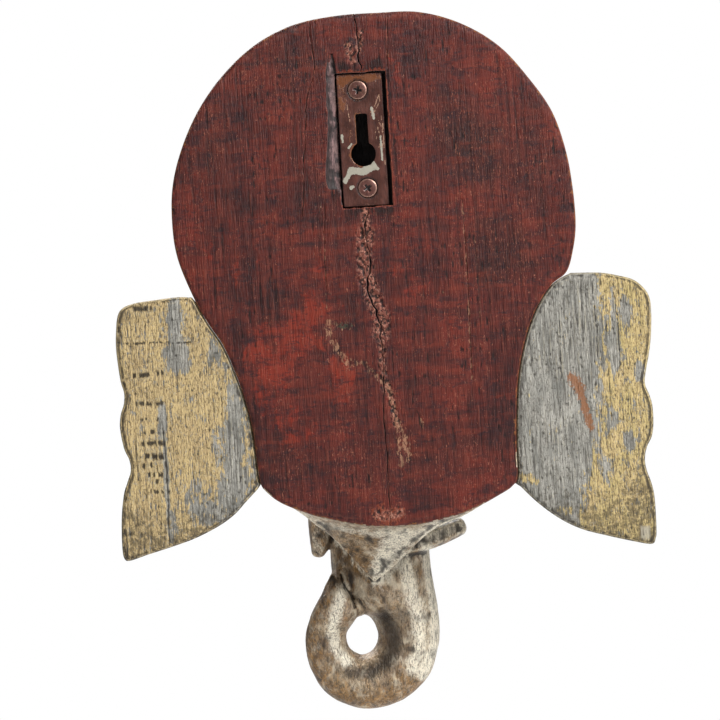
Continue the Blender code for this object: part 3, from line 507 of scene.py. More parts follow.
def crown_depth(x, z):
    radius = np.hypot(x - MIDDLE_X, z - CROWN_CENTRE_Z)
    angle = np.arctan2(x - MIDDLE_X, z - CROWN_CENTRE_Z)
    depth = CROWN_RIM_DEPTH + CROWN_SWELL * (1 - np.clip(radius / CROWN_RADIUS, 0, 1) ** 2)
    rim_line = CROWN_RADIUS - CROWN_RIM_WIDTH
    depth += CROWN_RIM_ROLL * smooth_step(rim_line, rim_line + GROOVE_HALF_WIDTH, radius)
    depth -= GROOVE_DEPTH * bell(radius - rim_line, GROOVE_HALF_WIDTH)
    petal_line = rim_line - PETAL_BAND_WIDTH
    along = np.clip((radius - petal_line) / PETAL_BAND_WIDTH, 0, 1)
    across = np.abs((angle * PETAL_COUNT / (2 * math.pi) + 0.5) % 1 - 0.5) * 2
    leaf = np.clip(1.15 * np.sqrt(np.clip(1 - along, 0, 1)) - across, 0, 1)
    banded = (radius > petal_line) & (radius < rim_line)
    depth += PETAL_RISE * smooth_step(0, 0.55, leaf) * banded
    depth -= FINE_LINE * bell(across, 0.14) * smooth_step(0.85, 0.6, along) * banded
    depth -= FINE_LINE * bell(leaf - 0.34, 0.09) * banded
    depth -= GROOVE_DEPTH * bell(radius - petal_line, GROOVE_HALF_WIDTH)
    inner_line = BEAD_RING_RADIUS - BEAD_RADIUS - BEAD_GROOVE_GAP
    depth -= GROOVE_DEPTH * bell(radius - inner_line, GROOVE_HALF_WIDTH)
    field = smooth_step(inner_line - 2 * MM, inner_line - 4 * MM, radius)
    rays = (angle * PETAL_COUNT / (2 * math.pi)) % 1 - 0.5
    depth -= FINE_LINE * bell(rays, 0.16) * field * smooth_step(14 * MM, 30 * MM, radius)
    return depth + jewel_rise(x, z)


def jewel_rise(x, z):
    """A pointed drop in a raised frame, with a smaller one leaning out at each side."""
    rise = 0
    for side in (0, -1, 1):
        scale = SIDE_JEWEL_SCALE if side else 1.0
        lean = side * SIDE_JEWEL_LEAN
        dx = x - MIDDLE_X - side * SIDE_JEWEL_SPACING
        dz = z - JEWEL_CENTRE_Z + abs(side) * SIDE_JEWEL_DROP
        u = dx * math.cos(lean) - dz * math.sin(lean)
        v = dx * math.sin(lean) + dz * math.cos(lean)
        tall = v / (JEWEL_HALF_HEIGHT * scale)
        wide = u / (JEWEL_HALF_WIDTH * scale * np.clip(1 - 0.45 * tall, 0.25, 1.4))
        size = np.hypot(tall, wide)
        frame_rise = JEWEL_RISE * scale * 0.55 * smooth_step(1.08, 0.9, size)
        stone = JEWEL_RISE * scale * 0.7 * dome(wide / 0.68, tall / 0.68)
        groove = GROOVE_DEPTH * bell(size - 0.74, 0.12) + FINE_LINE * bell(size - 0.95, 0.06)
        rise = np.maximum(rise, frame_rise + stone - groove)
    return rise


def trunk_axis(z):
    """The trunk ridge's middle, half width and crest depth on the face, at a height."""
    outer, heights, inner, _, depth = (np.array(v, float) * MM for v in zip(*TRUNK_SECTIONS[:4]))
    radius = (inner - outer) / 2
    rows = ((outer + inner) / 2, radius, depth + radius * TRUNK_FLATNESS)
    heights = np.concatenate([[TRUNK_ROOT[0]], heights])
    return [np.interp(-z, -heights, np.concatenate([[top], row])) for top, row in zip(TRUNK_ROOT[1:], rows)]


def ring_grooves(z):
    place = (z / TRUNK_RING_PITCH + 0.5) % 1 - 0.5
    return TRUNK_RING_DEPTH * bell(place * TRUNK_RING_PITCH, TRUNK_RING_HALF_WIDTH)


def eye_rise(x, z):
    """An almond eye in its socket under a long brow, the same on both sides."""
    dx = np.abs(x - MIDDLE_X) - EYE_SIDE
    dz = z - EYE_Z
    u = (dx * math.cos(EYE_LEAN) - dz * math.sin(EYE_LEAN)) / EYE_HALF_WIDTH
    v = (dx * math.sin(EYE_LEAN) + dz * math.cos(EYE_LEAN)) / EYE_HALF_HEIGHT
    lid = np.clip(1 - u * u, 0, 1)
    edge = np.where(v > 0, v - lid, -v - 0.75 * lid)
    within = smooth_step(0.12, -0.12, edge) * (np.abs(u) < 1)
    socket = -EYE_SOCKET_DEPTH * bell(np.hypot(u * 0.62, v * 0.36), 1.0)
    ball = within * (EYE_STEP + EYE_BALL_RISE * dome(u * 0.9, v * 0.85))
    pupil = FINE_LINE * bell(np.hypot(u * EYE_HALF_WIDTH, v * EYE_HALF_HEIGHT) - 3 * MM, 0.8 * MM) * within
    lids = EYELID_RISE * bell(edge, 0.34) * smooth_step(1.25, 0.9, np.abs(u))
    crease = FINE_LINE * bell(edge - 0.62, 0.16) * (v > 0) * smooth_step(1.5, 1.1, np.abs(u))
    arch = v - 2.55 + 0.55 * (u + 0.15) ** 2
    brow = BROW_RISE * bell(arch, 0.95) * smooth_step(1.75, 1.2, np.abs(u))
    return socket + ball - pupil + lids - crease + brow


def face_depth(x, z):
    dx = x - MIDDLE_X
    body = dome(dx / FACE_HALF_WIDTH, (z - FACE_CENTRE_Z) / FACE_HALF_HEIGHT, 2.5)
    depth = FACE_RIM_DEPTH + FACE_SWELL * body
    for side in (-1, 1):
        away, height, radius, rise = FOREHEAD_BOSS
        depth += rise * bell(np.hypot(dx - side * away, (z - height) * 0.95), radius)
        away, height, radius, rise = CHEEK
        depth += rise * bell(np.hypot((dx - side * away) * 0.9, z - height), radius)
    depth += eye_rise(x, z) * smooth_step(0.0, 0.35, body)
    middle, half, crest = trunk_axis(z)
    across = np.clip(np.abs(x - middle) / half, 0, 1)
    ridge = crest - half * TRUNK_FLATNESS * (1 - np.sqrt(1 - across**2 * 0.98))
    ringed = smooth_step(1, 0.7, across) * smooth_step(-98 * MM, -106 * MM, z)
    ridge -= ring_grooves(z) * ringed
    ridge = np.where((across < 1) & (z < TRUNK_ROOT[0]), ridge, 0)
    return soft_max(ridge, depth, BLEND_WIDTH)


def diadem_depth(x, z, ground):
    """A raised band over the forehead, with a row of beads between two mouldings."""
    dx = x - MIDDLE_X
    up = z - DIADEM_Z + DIADEM_DROP * (dx / FACE_HALF_WIDTH) ** 2
    half_edge = DIADEM_ROLL / 2
    band = smooth_step(DIADEM_HALF_HEIGHT + half_edge, DIADEM_HALF_HEIGHT - half_edge, np.abs(up))
    rolls = DIADEM_ROLL * bell(np.abs(up) - DIADEM_HALF_HEIGHT + DIADEM_ROLL, DIADEM_ROLL)
    wide, tall, rise = DIADEM_JEWEL
    jewel = rise * dome(dx / wide, up / tall)
    return ground + np.maximum(band * (DIADEM_RISE + rolls), jewel + band * DIADEM_RISE)


def carving_depth(x, z):
    """Depth of the carved front below the flat back, at any point of the head."""
    ground = soft_max(face_depth(x, z), crown_depth(x, z), BLEND_WIDTH) - BLEND_WIDTH / 4
    chisel = 0.12 * MM * noise_at(x, z, 5 * MM, 3 * MM, 11)
    chisel = chisel + 0.06 * MM * noise_at(x, z, 1.6 * MM, 1.2 * MM, 12)
    return diadem_depth(x, z, ground) + chisel


crest = carving_depth(np.array([MIDDLE_X]), np.array([-0.15]))[0]
print("the trunk on the face stands out to", round(float(crest / MM), 1), "mm")

# %% [markdown]
# ## Beads by Geometry Nodes
#
# Beads repeat along a ring on the crown and along the diadem. A small node tree puts a sphere on
# each point that it is given, with a seeded spread of sizes, as hand-cut beads have. The result is
# made a plain mesh and later melts into the carving, because the real beads are cut from the block.

# %% A tree that sets beads on points


def tree_with(name, sockets):
    """A geometry tree with named inputs, each (name, socket type, default), and one output."""
    tree = bpy.data.node_groups.new(name, "GeometryNodeTree")
    for label, kind, value in sockets:
        socket = tree.interface.new_socket(label, in_out="INPUT", socket_type=kind)
        if value is not None:
            socket.default_value = value
    tree.interface.new_socket("Geometry", in_out="OUTPUT", socket_type="NodeSocketGeometry")
    return tree, tree.nodes.new("NodeGroupInput").outputs, tree.nodes.new("NodeGroupOutput").inputs[0]


def add(tree, kind, inputs=None, output=0, **settings):
    """One node, its settings set and its inputs set or linked; it gives back one output."""
    node = tree.nodes.new(kind)
    for key, value in settings.items():
        setattr(node, key, value)
    for key, value in (inputs or {}).items():
        if isinstance(value, bpy.types.NodeSocket):
            tree.links.new(value, node.inputs[key])
        else:
            node.inputs[key].default_value = value
    return node.outputs[output]


def set_on_points(tree, given, result, instance, **inputs):
    """An instance on each given point, then Realize Instances and Set Material."""
    points = add(tree, "GeometryNodeMeshToPoints", {0: given["Geometry"]})
    spread = add(tree, "GeometryNodeInstanceOnPoints", {"Points": points, "Instance": instance, **inputs})
    plain = add(tree, "GeometryNodeRealizeInstances", {0: spread})
    dressed = add(tree, "GeometryNodeSetMaterial", {0: plain, "Material": given["Material"]})
    tree.links.new(dressed, result)
    return tree


def run_tree(obj, tree, values):
    """Adds the tree as a modifier with its inputs set by identifier, and applies it."""
    modifier = obj.modifiers.new(tree.name, "NODES")
    modifier.node_group = tree
    for item in tree.interface.items_tree:
        if item.in_out == "INPUT" and item.name in values:
            modifier[item.identifier] = values[item.name]
    return apply_modifiers(obj)


def bead_tree():
    tree, given, result = tree_with("bead string", [
        ("Geometry", "NodeSocketGeometry", None),
        ("Bead radius", "NodeSocketFloat", 0.004),
        ("Size spread", "NodeSocketFloat", 0.06),
        ("Seed", "NodeSocketInt", 3),
        ("Material", "NodeSocketMaterial", None),
    ])
    sphere = add(tree, "GeometryNodeMeshIcoSphere", {"Radius": given["Bead radius"], "Subdivisions": 3})
    least = add(tree, "ShaderNodeMath", {0: 1.0, 1: given["Size spread"]}, operation="SUBTRACT")
    # Inputs 2 and 3 and output 1 are the least, the most and the value of a plain number.
    size_inputs = {2: least, 3: 1.0, "Seed": given["Seed"]}
    size = add(tree, "FunctionNodeRandomValue", size_inputs, 1, data_type="FLOAT")
    return set_on_points(tree, given, result, sphere, Scale=size)


def points_object(name, points):
    mesh = bpy.data.meshes.new(name)
    mesh.from_pydata([tuple(p) for p in points], [], [])
    return linked(name, mesh)


def crown_bead_places():
    """Where the crown's ring shows above the diadem and the brow."""
    turns = np.arange(BEAD_COUNT) * 2 * math.pi / BEAD_COUNT
    x = MIDDLE_X + BEAD_RING_RADIUS * np.sin(turns)
    z = CROWN_CENTRE_Z + BEAD_RING_RADIUS * np.cos(turns)
    crown = crown_depth(x, z)
    line = DIADEM_Z - DIADEM_DROP * ((x - MIDDLE_X) / FACE_HALF_WIDTH) ** 2
    clear = (crown > face_depth(x, z) + 0.3 * MM) & (z > line + DIADEM_HALF_HEIGHT + 2 * MM)
    return in_space(np.stack([x, z], axis=1), crown + 0.4 * MM)[clear]


def diadem_bead_places():
    pitch = 2 * FACE_HALF_WIDTH / DIADEM_BEADS
    steps = np.arange(-6, 7)
    x = MIDDLE_X + steps[np.abs(steps) > 1] * pitch
    z = DIADEM_Z - DIADEM_DROP * ((x - MIDDLE_X) / FACE_HALF_WIDTH) ** 2
    return in_space(np.stack([x, z], axis=1), carving_depth(x, z) + 0.2 * MM)


plain_surface = bpy.data.materials.new("while building")
BEADS = bead_tree()
bead_forms = []
for label, places, radius in (
    ("crown_beads", crown_bead_places(), BEAD_RADIUS),
    ("diadem_beads", diadem_bead_places(), DIADEM_BEAD_RADIUS * 0.85),
):
    beads = run_tree(points_object(label, places), BEADS, {"Bead radius": radius, "Material": plain_surface})
    bead_forms.append(beads)
    print(label, len(places), "beads,", triangles_in(beads), "triangles")

# %% [markdown]
# ## Trunk, tusks and lip
#
# These hang below the board and show from behind too: the trunk with its closed curl, the under-jaw
# that flares forward to a keeled lip, and the tusks, of which one is a broken stub. The curl closes
# round a hole that one can look through, so its edges are taken as measured.

# %% Forms below the board
LEFT_TUSK_LINE = [
    (23, -150, 33, 8.5), (26, -165, 40, 8), (28, -178, 45, 6.4), (29, -186, 47, 5.2),
    (30.2, -190.3, 48, 3.6),
]
RIGHT_TUSK_LINE = [
    (-8, -188, 41, 6.2), (-19, -186.4, 45, 5.6), (-28, -183.8, 48, 5), (-32.5, -182.3, 49, 4.6),
]
# The curl's end runs on into the trunk as a low ridge.
RUN_ON_LINE = [(24, -214, 41, 6), (21.6, -206, 43, 5.6), (18.8, -198, 46, 5.5), (16, -187, 49.5, 5)]
WEB_LINE = [(16.8, -215.3, 41, 3.7), (12.8, -214, 46, 4.3), (8.8, -212.6, 50, 4.8)]
LIP_RIM_LEFT = [
    (43.5, -164.9, 2.5), (36.7, -170, 6), (30.5, -175.6, 11), (23.3, -182.5, 18),
    (15.8, -192.2, 27), (6.6, -204, 35),
]
LIP_RIM_RIGHT = [
    (-3.8, -196, 27), (-12.8, -187.3, 18), (-21.5, -180.6, 10), (-33.9, -175.6, 5),
    (-43.5, -170, 2.5),
]
LIP_KEEL_X = -0.7 * MM
LIP_THICKNESS = 2.2 * MM
LIP_ROLL = 1.5 * MM
LIP_OVERLAP = 0.3 * MM
JAW_INSET = 0.5 * MM
JAW_TOP = -148 * MM


def trunk_form():
    path = spline_points(TRUNK_SECTIONS, 14, closed=False) * MM
    outer, inner = path[:, 0:2], path[:, 2:4]
    middle, half = (outer + inner) / 2, (inner - outer) / 2
    centres = in_space(middle, path[:, 4])
    sides = np.stack([half[:, 0], np.zeros(len(path)), half[:, 1]], axis=1)
    backs = np.zeros_like(sides)
    backs[:, 1] = np.linalg.norm(sides, axis=1) * TRUNK_FLATNESS
    section = np.linspace(0, len(TRUNK_SECTIONS) - 1, len(path))
    descending = smooth_step(TRUNK_RINGED_SECTIONS, TRUNK_RINGED_SECTIONS - 1, section)
    fronts = -backs
    fronts[:, 1] += ring_grooves(middle[:, 1]) * descending
    return tube("trunk_form", centres, sides, fronts, backs)


def lower_edge(x):
    """Height of the board's lower edge at a given x."""
    low = HEAD_EDGE[HEAD_EDGE[:, 1] < -158 * MM]
    low = low[np.argsort(low[:, 0])]
    return np.interp(x, low[:, 0], low[:, 1])


def jaw_form():
    left = spline_points(LIP_RIM_LEFT, 12, closed=False)
    right = spline_points([LIP_RIM_LEFT[-1], *LIP_RIM_RIGHT], 12, closed=False)
    rim = np.concatenate([left, right[1:]]) * MM
    tip_x = LIP_RIM_LEFT[-1][0] * MM
    loops = []
    for x, z, depth in rim:
        end = rim[0, 0] if x > tip_x else rim[-1, 0]
        start_x = LIP_KEEL_X + (end - LIP_KEEL_X) * abs((x - tip_x) / (end - tip_x)) ** 0.8
        start_z = lower_edge(start_x) + LIP_OVERLAP
        loop = []
        for share in np.linspace(0, 1, 25):
            fall = 0.4 * share + 0.6 * share**2
            loop.append((
                start_x + (x - start_x) * share,
                BACK_Y - JAW_INSET - (depth - JAW_INSET) * share,
                start_z + (z - start_z) * fall,
            ))
        loop.append((x, BACK_Y - depth - LIP_THICKNESS, z + LIP_ROLL))
        loop.append((x * 0.9, BACK_Y - depth - 2 * LIP_THICKNESS, JAW_TOP))
        loop.append((start_x, BACK_Y - JAW_INSET, JAW_TOP))
        loops.append(loop)
    return lofted("jaw_form", loops)


def join(objects, name):
    bm = bmesh.new()
    for obj in objects:
        bm.from_mesh(obj.data)
        bpy.data.objects.remove(obj)
    mesh = bpy.data.meshes.new(name)
    bm.to_mesh(mesh)
    bm.free()
    return linked(name, mesh)


# %% [markdown]
# ## One skin over the carving
#
# A voxel remesh melts the front, beads, lip, trunk and tusks into one skin, as one block of wood
# has one surface, and a light smoothing takes off the voxel steps. A decimate then spends the
# triangles where the carving bends, and the small unevenness of blade and sandpaper goes on last.

# %% Working on the points of a mesh


def vectors_of(items, name):
    """One vector property of every item, as rows of three numbers."""
    values = np.empty(len(items) * 3, np.float32)
    items.foreach_get(name, values)
    return values.reshape(-1, 3).astype(float)


def positions(obj):
    return vectors_of(obj.data.vertices, "co")


def point_normals(obj):
    return vectors_of(obj.data.vertices, "normal")


def move_points(obj, points):
    obj.data.vertices.foreach_set("co", points.astype(np.float32).ravel())
    obj.data.update()


def averaged(obj, points, rounds, share=None):
    """The points moved towards the middle of their neighbours, round after round."""
    pairs = np.empty(len(obj.data.edges) * 2, np.int32)
    obj.data.edges.foreach_get("vertices", pairs)
    a, b = pairs.reshape(-1, 2).T
    count = np.bincount(a, minlength=len(points)) + np.bincount(b, minlength=len(points))
    pull = np.full(len(points), 0.5) if share is None else 0.5 * share
    smooth = points.copy()
    for _ in range(rounds):
        total = np.stack([
            np.bincount(a, smooth[b, k], len(points)) + np.bincount(b, smooth[a, k], len(points))
            for k in range(points.shape[1])
        ], axis=1)
        smooth += pull[:, None] * (total / np.maximum(count, 1)[:, None] - smooth)
    return smooth


# %% The carved part of the head
# Where the curl's end is eased into the trunk, and the gash beside it, mm.
EASED = [
    (9, [(33, -204), (25, -199), (20, -190)]), (4.5, [(9, -208), (4, -207)]),
    (9, [(4, -212), (-6, -214), (-17, -214)]),
]
GASH_LINE = [(20.8, -199.6), (19.4, -203.6), (17.2, -207.4), (15.9, -211), (15.2, -214)]
GASH_HALF_WIDTH = 0.85
GASH_DEPTH = 0.6 * MM
CARVING_INSET = 0.35 * MM
CARVING_BACK = 1.4 * MM
CARVING_VOXEL = 0.78 * MM
CARVING_TRIANGLES = 112000


def eased_and_gashed(carving):
    """Eases the curl's end, cuts the gash, and adds the unevenness of blade and sandpaper."""
    points, normals = positions(carving), point_normals(carving)
    seen = smooth_step(-0.1, 0.3, normals[:, 1])
    points = averaged(carving, points, 90, near_strokes(points[:, [0, 2]], EASED) * seen)
    gash_stroke = (GASH_HALF_WIDTH, spline_points(GASH_LINE, 5, closed=False))
    gash = near_strokes(points[:, [0, 2]], [gash_stroke])
    points -= normals * (GASH_DEPTH * gash * seen)[:, None]
    uneven = 0.16 * noise(points / (7 * MM), 31) + 0.09 * noise(points / (2.6 * MM, 2.6 * MM, 4.5 * MM), 32)
    uneven += 0.05 * noise(points / (1.3 * MM, 1.3 * MM, 3.0 * MM), 33)
    return points + normals * (uneven - 0.15)[:, None] * MM


def carving_form():
    spots = scatter(offset_outline(HEAD_EDGE, -CARVING_INSET - 0.6 * MM), 0.95 * MM, 0.95 * MM, 5)
    front = board(
        "front_form", offset_outline(HEAD_EDGE, -CARVING_INSET), spots, 1.0, 0.5 * MM,
        lambda places: np.full(len(places), CARVING_BACK), lambda places: carving_depth(*places.T),
    )
    carving = join([
        front, jaw_form(), trunk_form(), swept("web_form", WEB_LINE), swept("run_on_form", RUN_ON_LINE),
        swept("left_tusk_form", LEFT_TUSK_LINE, 5), swept("right_tusk_form", RIGHT_TUSK_LINE, 5),
        *bead_forms,
    ], "carving_form")
    blend = carving.modifiers.new("One skin", "REMESH")
    blend.mode = "VOXEL"
    blend.voxel_size = CARVING_VOXEL
    ease = carving.modifiers.new("Ease", "SMOOTH")
    ease.factor = 0.5
    ease.iterations = 2
    apply_modifiers(carving)
    move_points(carving, eased_and_gashed(carving))
    dense = triangles_in(carving)
    lighten = carving.modifiers.new("Lighten", "DECIMATE")
    lighten.ratio = CARVING_TRIANGLES / dense
    apply_modifiers(carving)
    print("carving:", dense, "triangles lightened to", triangles_in(carving))
    return carving


# %% [markdown]
# ## The painted back
#
# The back is the side that shows: a flat board with raised vertical grain under old paint, cracks
# that opened as the wood dried, crumbled filler beside the main crack, and edges worn round. Its
# relief is written like the front's, from noise stretched along the grain and from a few named
# lines. The sheet is finer near those lines.

# %% Grain, pores, cracks and filler
BACK_BASE = 0.42 * MM
BACK_BEVEL = 0.7 * MM
SKIN_DEPTH = 2.6 * MM


# The main crack above and below the pocket, and the finer ones: (half width, points), mm.
MAIN_CRACKS = {
    "upper_crack": (0.55, [(0.6, 38.6), (-0.4, 33), (-0.4, 28.3), (-0.5, 20.1), (-1, 13)]),
    "lower_crack": (0.55, [
        (-1.4, -42), (1.3, -51.3), (0.5, -59.2), (-0.3, -67), (1.5, -77), (-1.9, -90.2), (-2.9, -101),
    ]),
    "foot_crack": (0.32, [
        (-2.8, -98), (-2.6, -110.9), (-2.5, -122.1), (-1.9, -130.6), (-2, -143.5), (-2.1, -156.3),
        (-1.8, -169.2), (-1.2, -179),
    ]),
}
FINE_CRACKS = {
    "left_crack": (0.3, [
        (19.4, 37), (19.1, 27.7), (18.6, 16.5), (20.1, 10.7), (22, 4.9), (22.9, -1), (24.3, -13.9),
        (25.8, -28.5), (27.2, -46.7),
    ]),
    "right_crack": (0.16, [(-13.5, 36), (-12.9, 26.1), (-12, 14.6)]),
    "low_left_crack": (0.14, [(17.2, -37.3), (18.8, -56.2), (19.2, -77.2)]),
    "far_right_crack": (0.14, [(-40.1, -42.9), (-40.3, -80.8), (-39.7, -118.7)]),
}
CRUMBLED = [
    (5.2, [(1.4, -54), (2.2, -64), (1.6, -74), (-0.6, -82), (-3.2, -90), (-3, -97)]),
    (2.8, [(0.5, -44), (1.2, -56)]),
    (2.2, [(-3, -97), (-2.6, -112), (-3, -120)]),
    (2.6, [(3.6, 25), (2.2, 18.6)]),
    (2.4, [(-1.4, 30), (-0.6, 23)]),
    (2.2, [(-3.4, -117), (-5.4, -125), (-6.8, -135)]),
    (3.6, [(3, -173), (-2, -173.6), (-6, -172.6)]),
]
SCUFFED = [
    (2.6, [(11, -108), (5.6, -108.7), (1.4, -112.9), (-2.7, -118.3)]),
    (2.6, [(-4.2, -117.8), (-5.6, -125), (-7.1, -136)]),
    (3.6, [(-8.4, -137), (-10.1, -143), (-11.2, -150)]),
    (2.4, [(-7.4, -142), (-8.2, -152.7)]),
    (1.6, [(-17.2, -134), (-18, -137)]),
    (2.8, [(19.4, -90.6), (15, -92.4), (10.9, -92.8)]),
    (3.2, [(19.6, -94), (16.5, -102), (11.1, -109.2)]),
    (0.9, [(-40.1, -42.9), (-40.3, -80.8), (-39.7, -118.7)], 0.85),
    (0.8, [(-44.5, -60), (-44.9, -98)], 0.7), (0.7, [(19.4, -37), (18.8, -56), (19.2, -90)], 0.7),
    (0.7, [(-12.9, 34), (-12.2, 12)], 0.7), (1.4, [(-14, -81.5), (-22, -82), (-31, -80.5)], 0.6),
]



def head_back(places):
    """Depth of the painted back below its highest grain."""
    x, z = places.T
    depth = BACK_BASE + 0.13 * MM * noise_at(x, z, 24 * MM, 60 * MM, 41)
    lively = 0.75 + 0.35 * noise_at(x, z, 20 * MM, 30 * MM, 42)
    grain = 0.085 * noise_at(x, z, 1.5 * MM, 26 * MM, 43) + 0.07 * noise_at(x, z, 0.8 * MM, 11 * MM, 44)
    depth -= MM * grain * lively
    pores = smooth_step(0.58, 0.85, noise_at(x, z, 0.8 * MM, 3.4 * MM, 45))
    depth += 0.16 * MM * pores * smooth_step(0.0, 0.5, noise_at(x, z, 14 * MM, 22 * MM, 46))
    rough = near_strokes(places, CRUMBLED)
    lumps = noise_at(x, z, 1.4 * MM, 1.8 * MM, 47) + 0.7 * noise_at(x, z, 0.8 * MM, 0.9 * MM, 48)
    depth += rough * MM * (0.18 - 0.62 * lumps)
    depth += near_strokes(places, SCUFFED) * 0.12 * MM
    rim = distance_to(places, HEAD_EDGE, closed=True)
    chips = smooth_step(0.25, 0.6, noise_at(x, z, 3.5 * MM, 5 * MM, 49)) * bell(rim, 2.4 * MM)
    depth += 0.35 * MM * bell(rim, 2.2 * MM) + 0.35 * MM * chips
    return np.maximum(depth, 0.02 * MM)


def wedge(name, half, line, depth, seed):
    """A cutter that opens a crack: wide at the surface, nothing at its floor, never straight."""
    path = spline_points(line, 12, closed=False) * MM
    lengths = np.concatenate([[0], np.cumsum(np.hypot(*np.diff(path, axis=0).T))])
    steps = np.arange(0, lengths[-1], 0.7 * MM)
    x, z = (np.interp(steps, lengths, path[:, k]) for k in (0, 1))
    x = x + half * MM * 1.1 * noise_at(steps, steps * 0, 2.3 * MM, MM, seed)
    width = half * MM * (0.75 + 0.55 * noise_at(steps, steps * 0, 3.1 * MM, MM, seed + 1))
    fade = smooth_step(0, 5 * MM, steps) * smooth_step(lengths[-1], lengths[-1] - 5 * MM, steps)
    width *= fade * 0.8 + 0.2
    proud = BACK_Y + 0.6 * MM
    return lofted(name, [
        ((a - w * 1.2, proud, b), (a + w * 1.2, proud, b), (a + w * 0.5, BACK_Y - depth * 0.5, b),
         (a, BACK_Y - depth, b), (a - w * 0.5, BACK_Y - depth * 0.5, b))
        for a, b, w in zip(x, z, width)
    ])


def back_places():
    """Points for the back: long and narrow along the grain, dense near cracks and filler."""
    loop = offset_outline(HEAD_EDGE, -BACK_BEVEL - 0.2 * MM)
    coarse = scatter(loop, 0.72 * MM, 1.75 * MM, 6)
    close = [(line[0] + 1.5, line[1]) for line in MAIN_CRACKS.values()] + CRUMBLED
    fine = scatter(loop * (0.3, 1), 0.5 * MM, 0.6 * MM, 7)
    coarse_kept = coarse[near_strokes(coarse, close) <= 0.05]
    return np.concatenate([coarse_kept, fine[near_strokes(fine, close) > 0.05]])


# %% [markdown]
# ## The pocket behind the plate
#
# The plate lies in a pocket chiselled into the back, wider on one side, with a deeper keyhole room
# for the wall screw's head. A sliver of wood has broken away beside it and left a slanting facet.
# Boolean cutters make all of this crisp, which a relief sheet can't do for upright walls.

# %% Cutters for the back
PLATE_WIDTH = 19.3 * MM
PLATE_TOP, PLATE_BOTTOM = 13.0 * MM, -43.0 * MM
PLATE_THICKNESS = 1.8 * MM
SLOT_WIDTH = 5.0 * MM
SLOT_TOP = -4.0 * MM
KEYHOLE_RADIUS = 5.2 * MM
KEYHOLE_DROP = 17.0 * MM
FIT_GAP = 0.3 * MM
POCKET_SLACK_LEFT, POCKET_SLACK_RIGHT, POCKET_SLACK_END = 0.5 * MM, 1.5 * MM, 0.5 * MM
CAVITY_DEPTH = 9.0 * MM
CAVITY_MARGIN = 1.4 * MM
SCREW_PLACES = {"upper_screw": (0.9 * MM, 6.0 * MM), "lower_screw": (-0.9 * MM, -35.4 * MM)}
SCREW_HEAD_RADIUS = 4.0 * MM
SCREW_HEAD_DEPTH = 1.3 * MM
SCREW_CROWN = 0.6 * MM
SCREW_SHANK_RADIUS = 1.7 * MM
SCREW_LENGTH = 16.0 * MM
SPLINTER_LINE = [
    (12.1, 11.5, 21.8, 0.6), (13.6, 10.3, 14, 1.6), (13.9, 10.0, 8, 2.6), (14.3, 10.0, -10, 3.2),
    (16.1, 10.0, -32.8, 3.2), (11.4, 10.0, -35.8, 3.2), (10.4, 10.0, -42, 3.2),
]


def prism(name, outline, front, back):
    """A closed prism of an (x, z) outline between two depths."""
    outline = np.asarray(outline)
    rows = [in_space(outline, np.full(len(outline), depth)) for depth in (front, back)]
    return lofted(name, rows)


def keyhole_outline(margin, steps=48):
    radius = KEYHOLE_RADIUS + margin
    half = SLOT_WIDTH / 2 + margin
    centre = SLOT_TOP - KEYHOLE_DROP
    start = math.asin(half / radius)
    turns = start + (2 * math.pi - 2 * start) * np.linspace(0, 1, steps)
    arc = np.stack([radius * np.sin(turns), centre + radius * np.cos(turns)], axis=1)
    corner = 0.5 * MM
    top = [(-half, SLOT_TOP + margin - corner), (-half + corner, SLOT_TOP + margin),
           (half - corner, SLOT_TOP + margin), (half, SLOT_TOP + margin - corner)]
    return np.concatenate([arc, top])


def circle_outline(radius, x, z, steps=32):
    turns = np.linspace(0, 2 * math.pi, steps, endpoint=False)
    return np.stack([x + radius * np.cos(turns), z + radius * np.sin(turns)], axis=1)


def hand_cut_box(x0, x1, z0, z1, seed):
    """A box outline whose sides wander a little, as a chisel leaves them."""
    corners = np.array([(x0, z0), (x0, z1), (x1, z1), (x1, z0)])
    points = []
    for a, b in zip(corners, np.roll(corners, -1, axis=0)):
        steps = max(4, int(np.hypot(*(b - a)) / (1.6 * MM)))
        for share in np.arange(steps) / steps:
            points.append(a + (b - a) * share)
    points = np.array(points)
    shake = np.stack([noise(points / (2.4 * MM), seed), noise(points / (2.4 * MM), seed + 1)], axis=1)
    return points + shake * 0.34 * MM


def splinter_cutter():
    path = spline_points(SPLINTER_LINE, 14, closed=False)
    z = path[:, 2]
    outer = path[:, 0] + 0.3 * noise_at(z, z * 0, 2.4, 1, 61)
    depth = path[:, 3] + 0.25 * noise_at(z, z * 0, 1.7, 1, 62)
    middle = (outer + path[:, 1]) / 2 + 0.3 * noise_at(z, z * 0, 1.9, 1, 63)
    hump = depth * 0.62 + 0.3 * noise_at(z, z * 0, 2.8, 1, 64)
    proud = 1.0
    return lofted("splinter_cutter", [
        [(p * MM, BACK_Y - d * MM, height * MM) for p, d in (
            (inner - 1, -proud), (o + 0.4, -proud), (o, 0.8), (m, h), (inner, deep), (inner - 1, deep),
        )]
        for o, inner, height, deep, m, h in zip(outer, path[:, 1], z, depth, middle, hump)
    ])


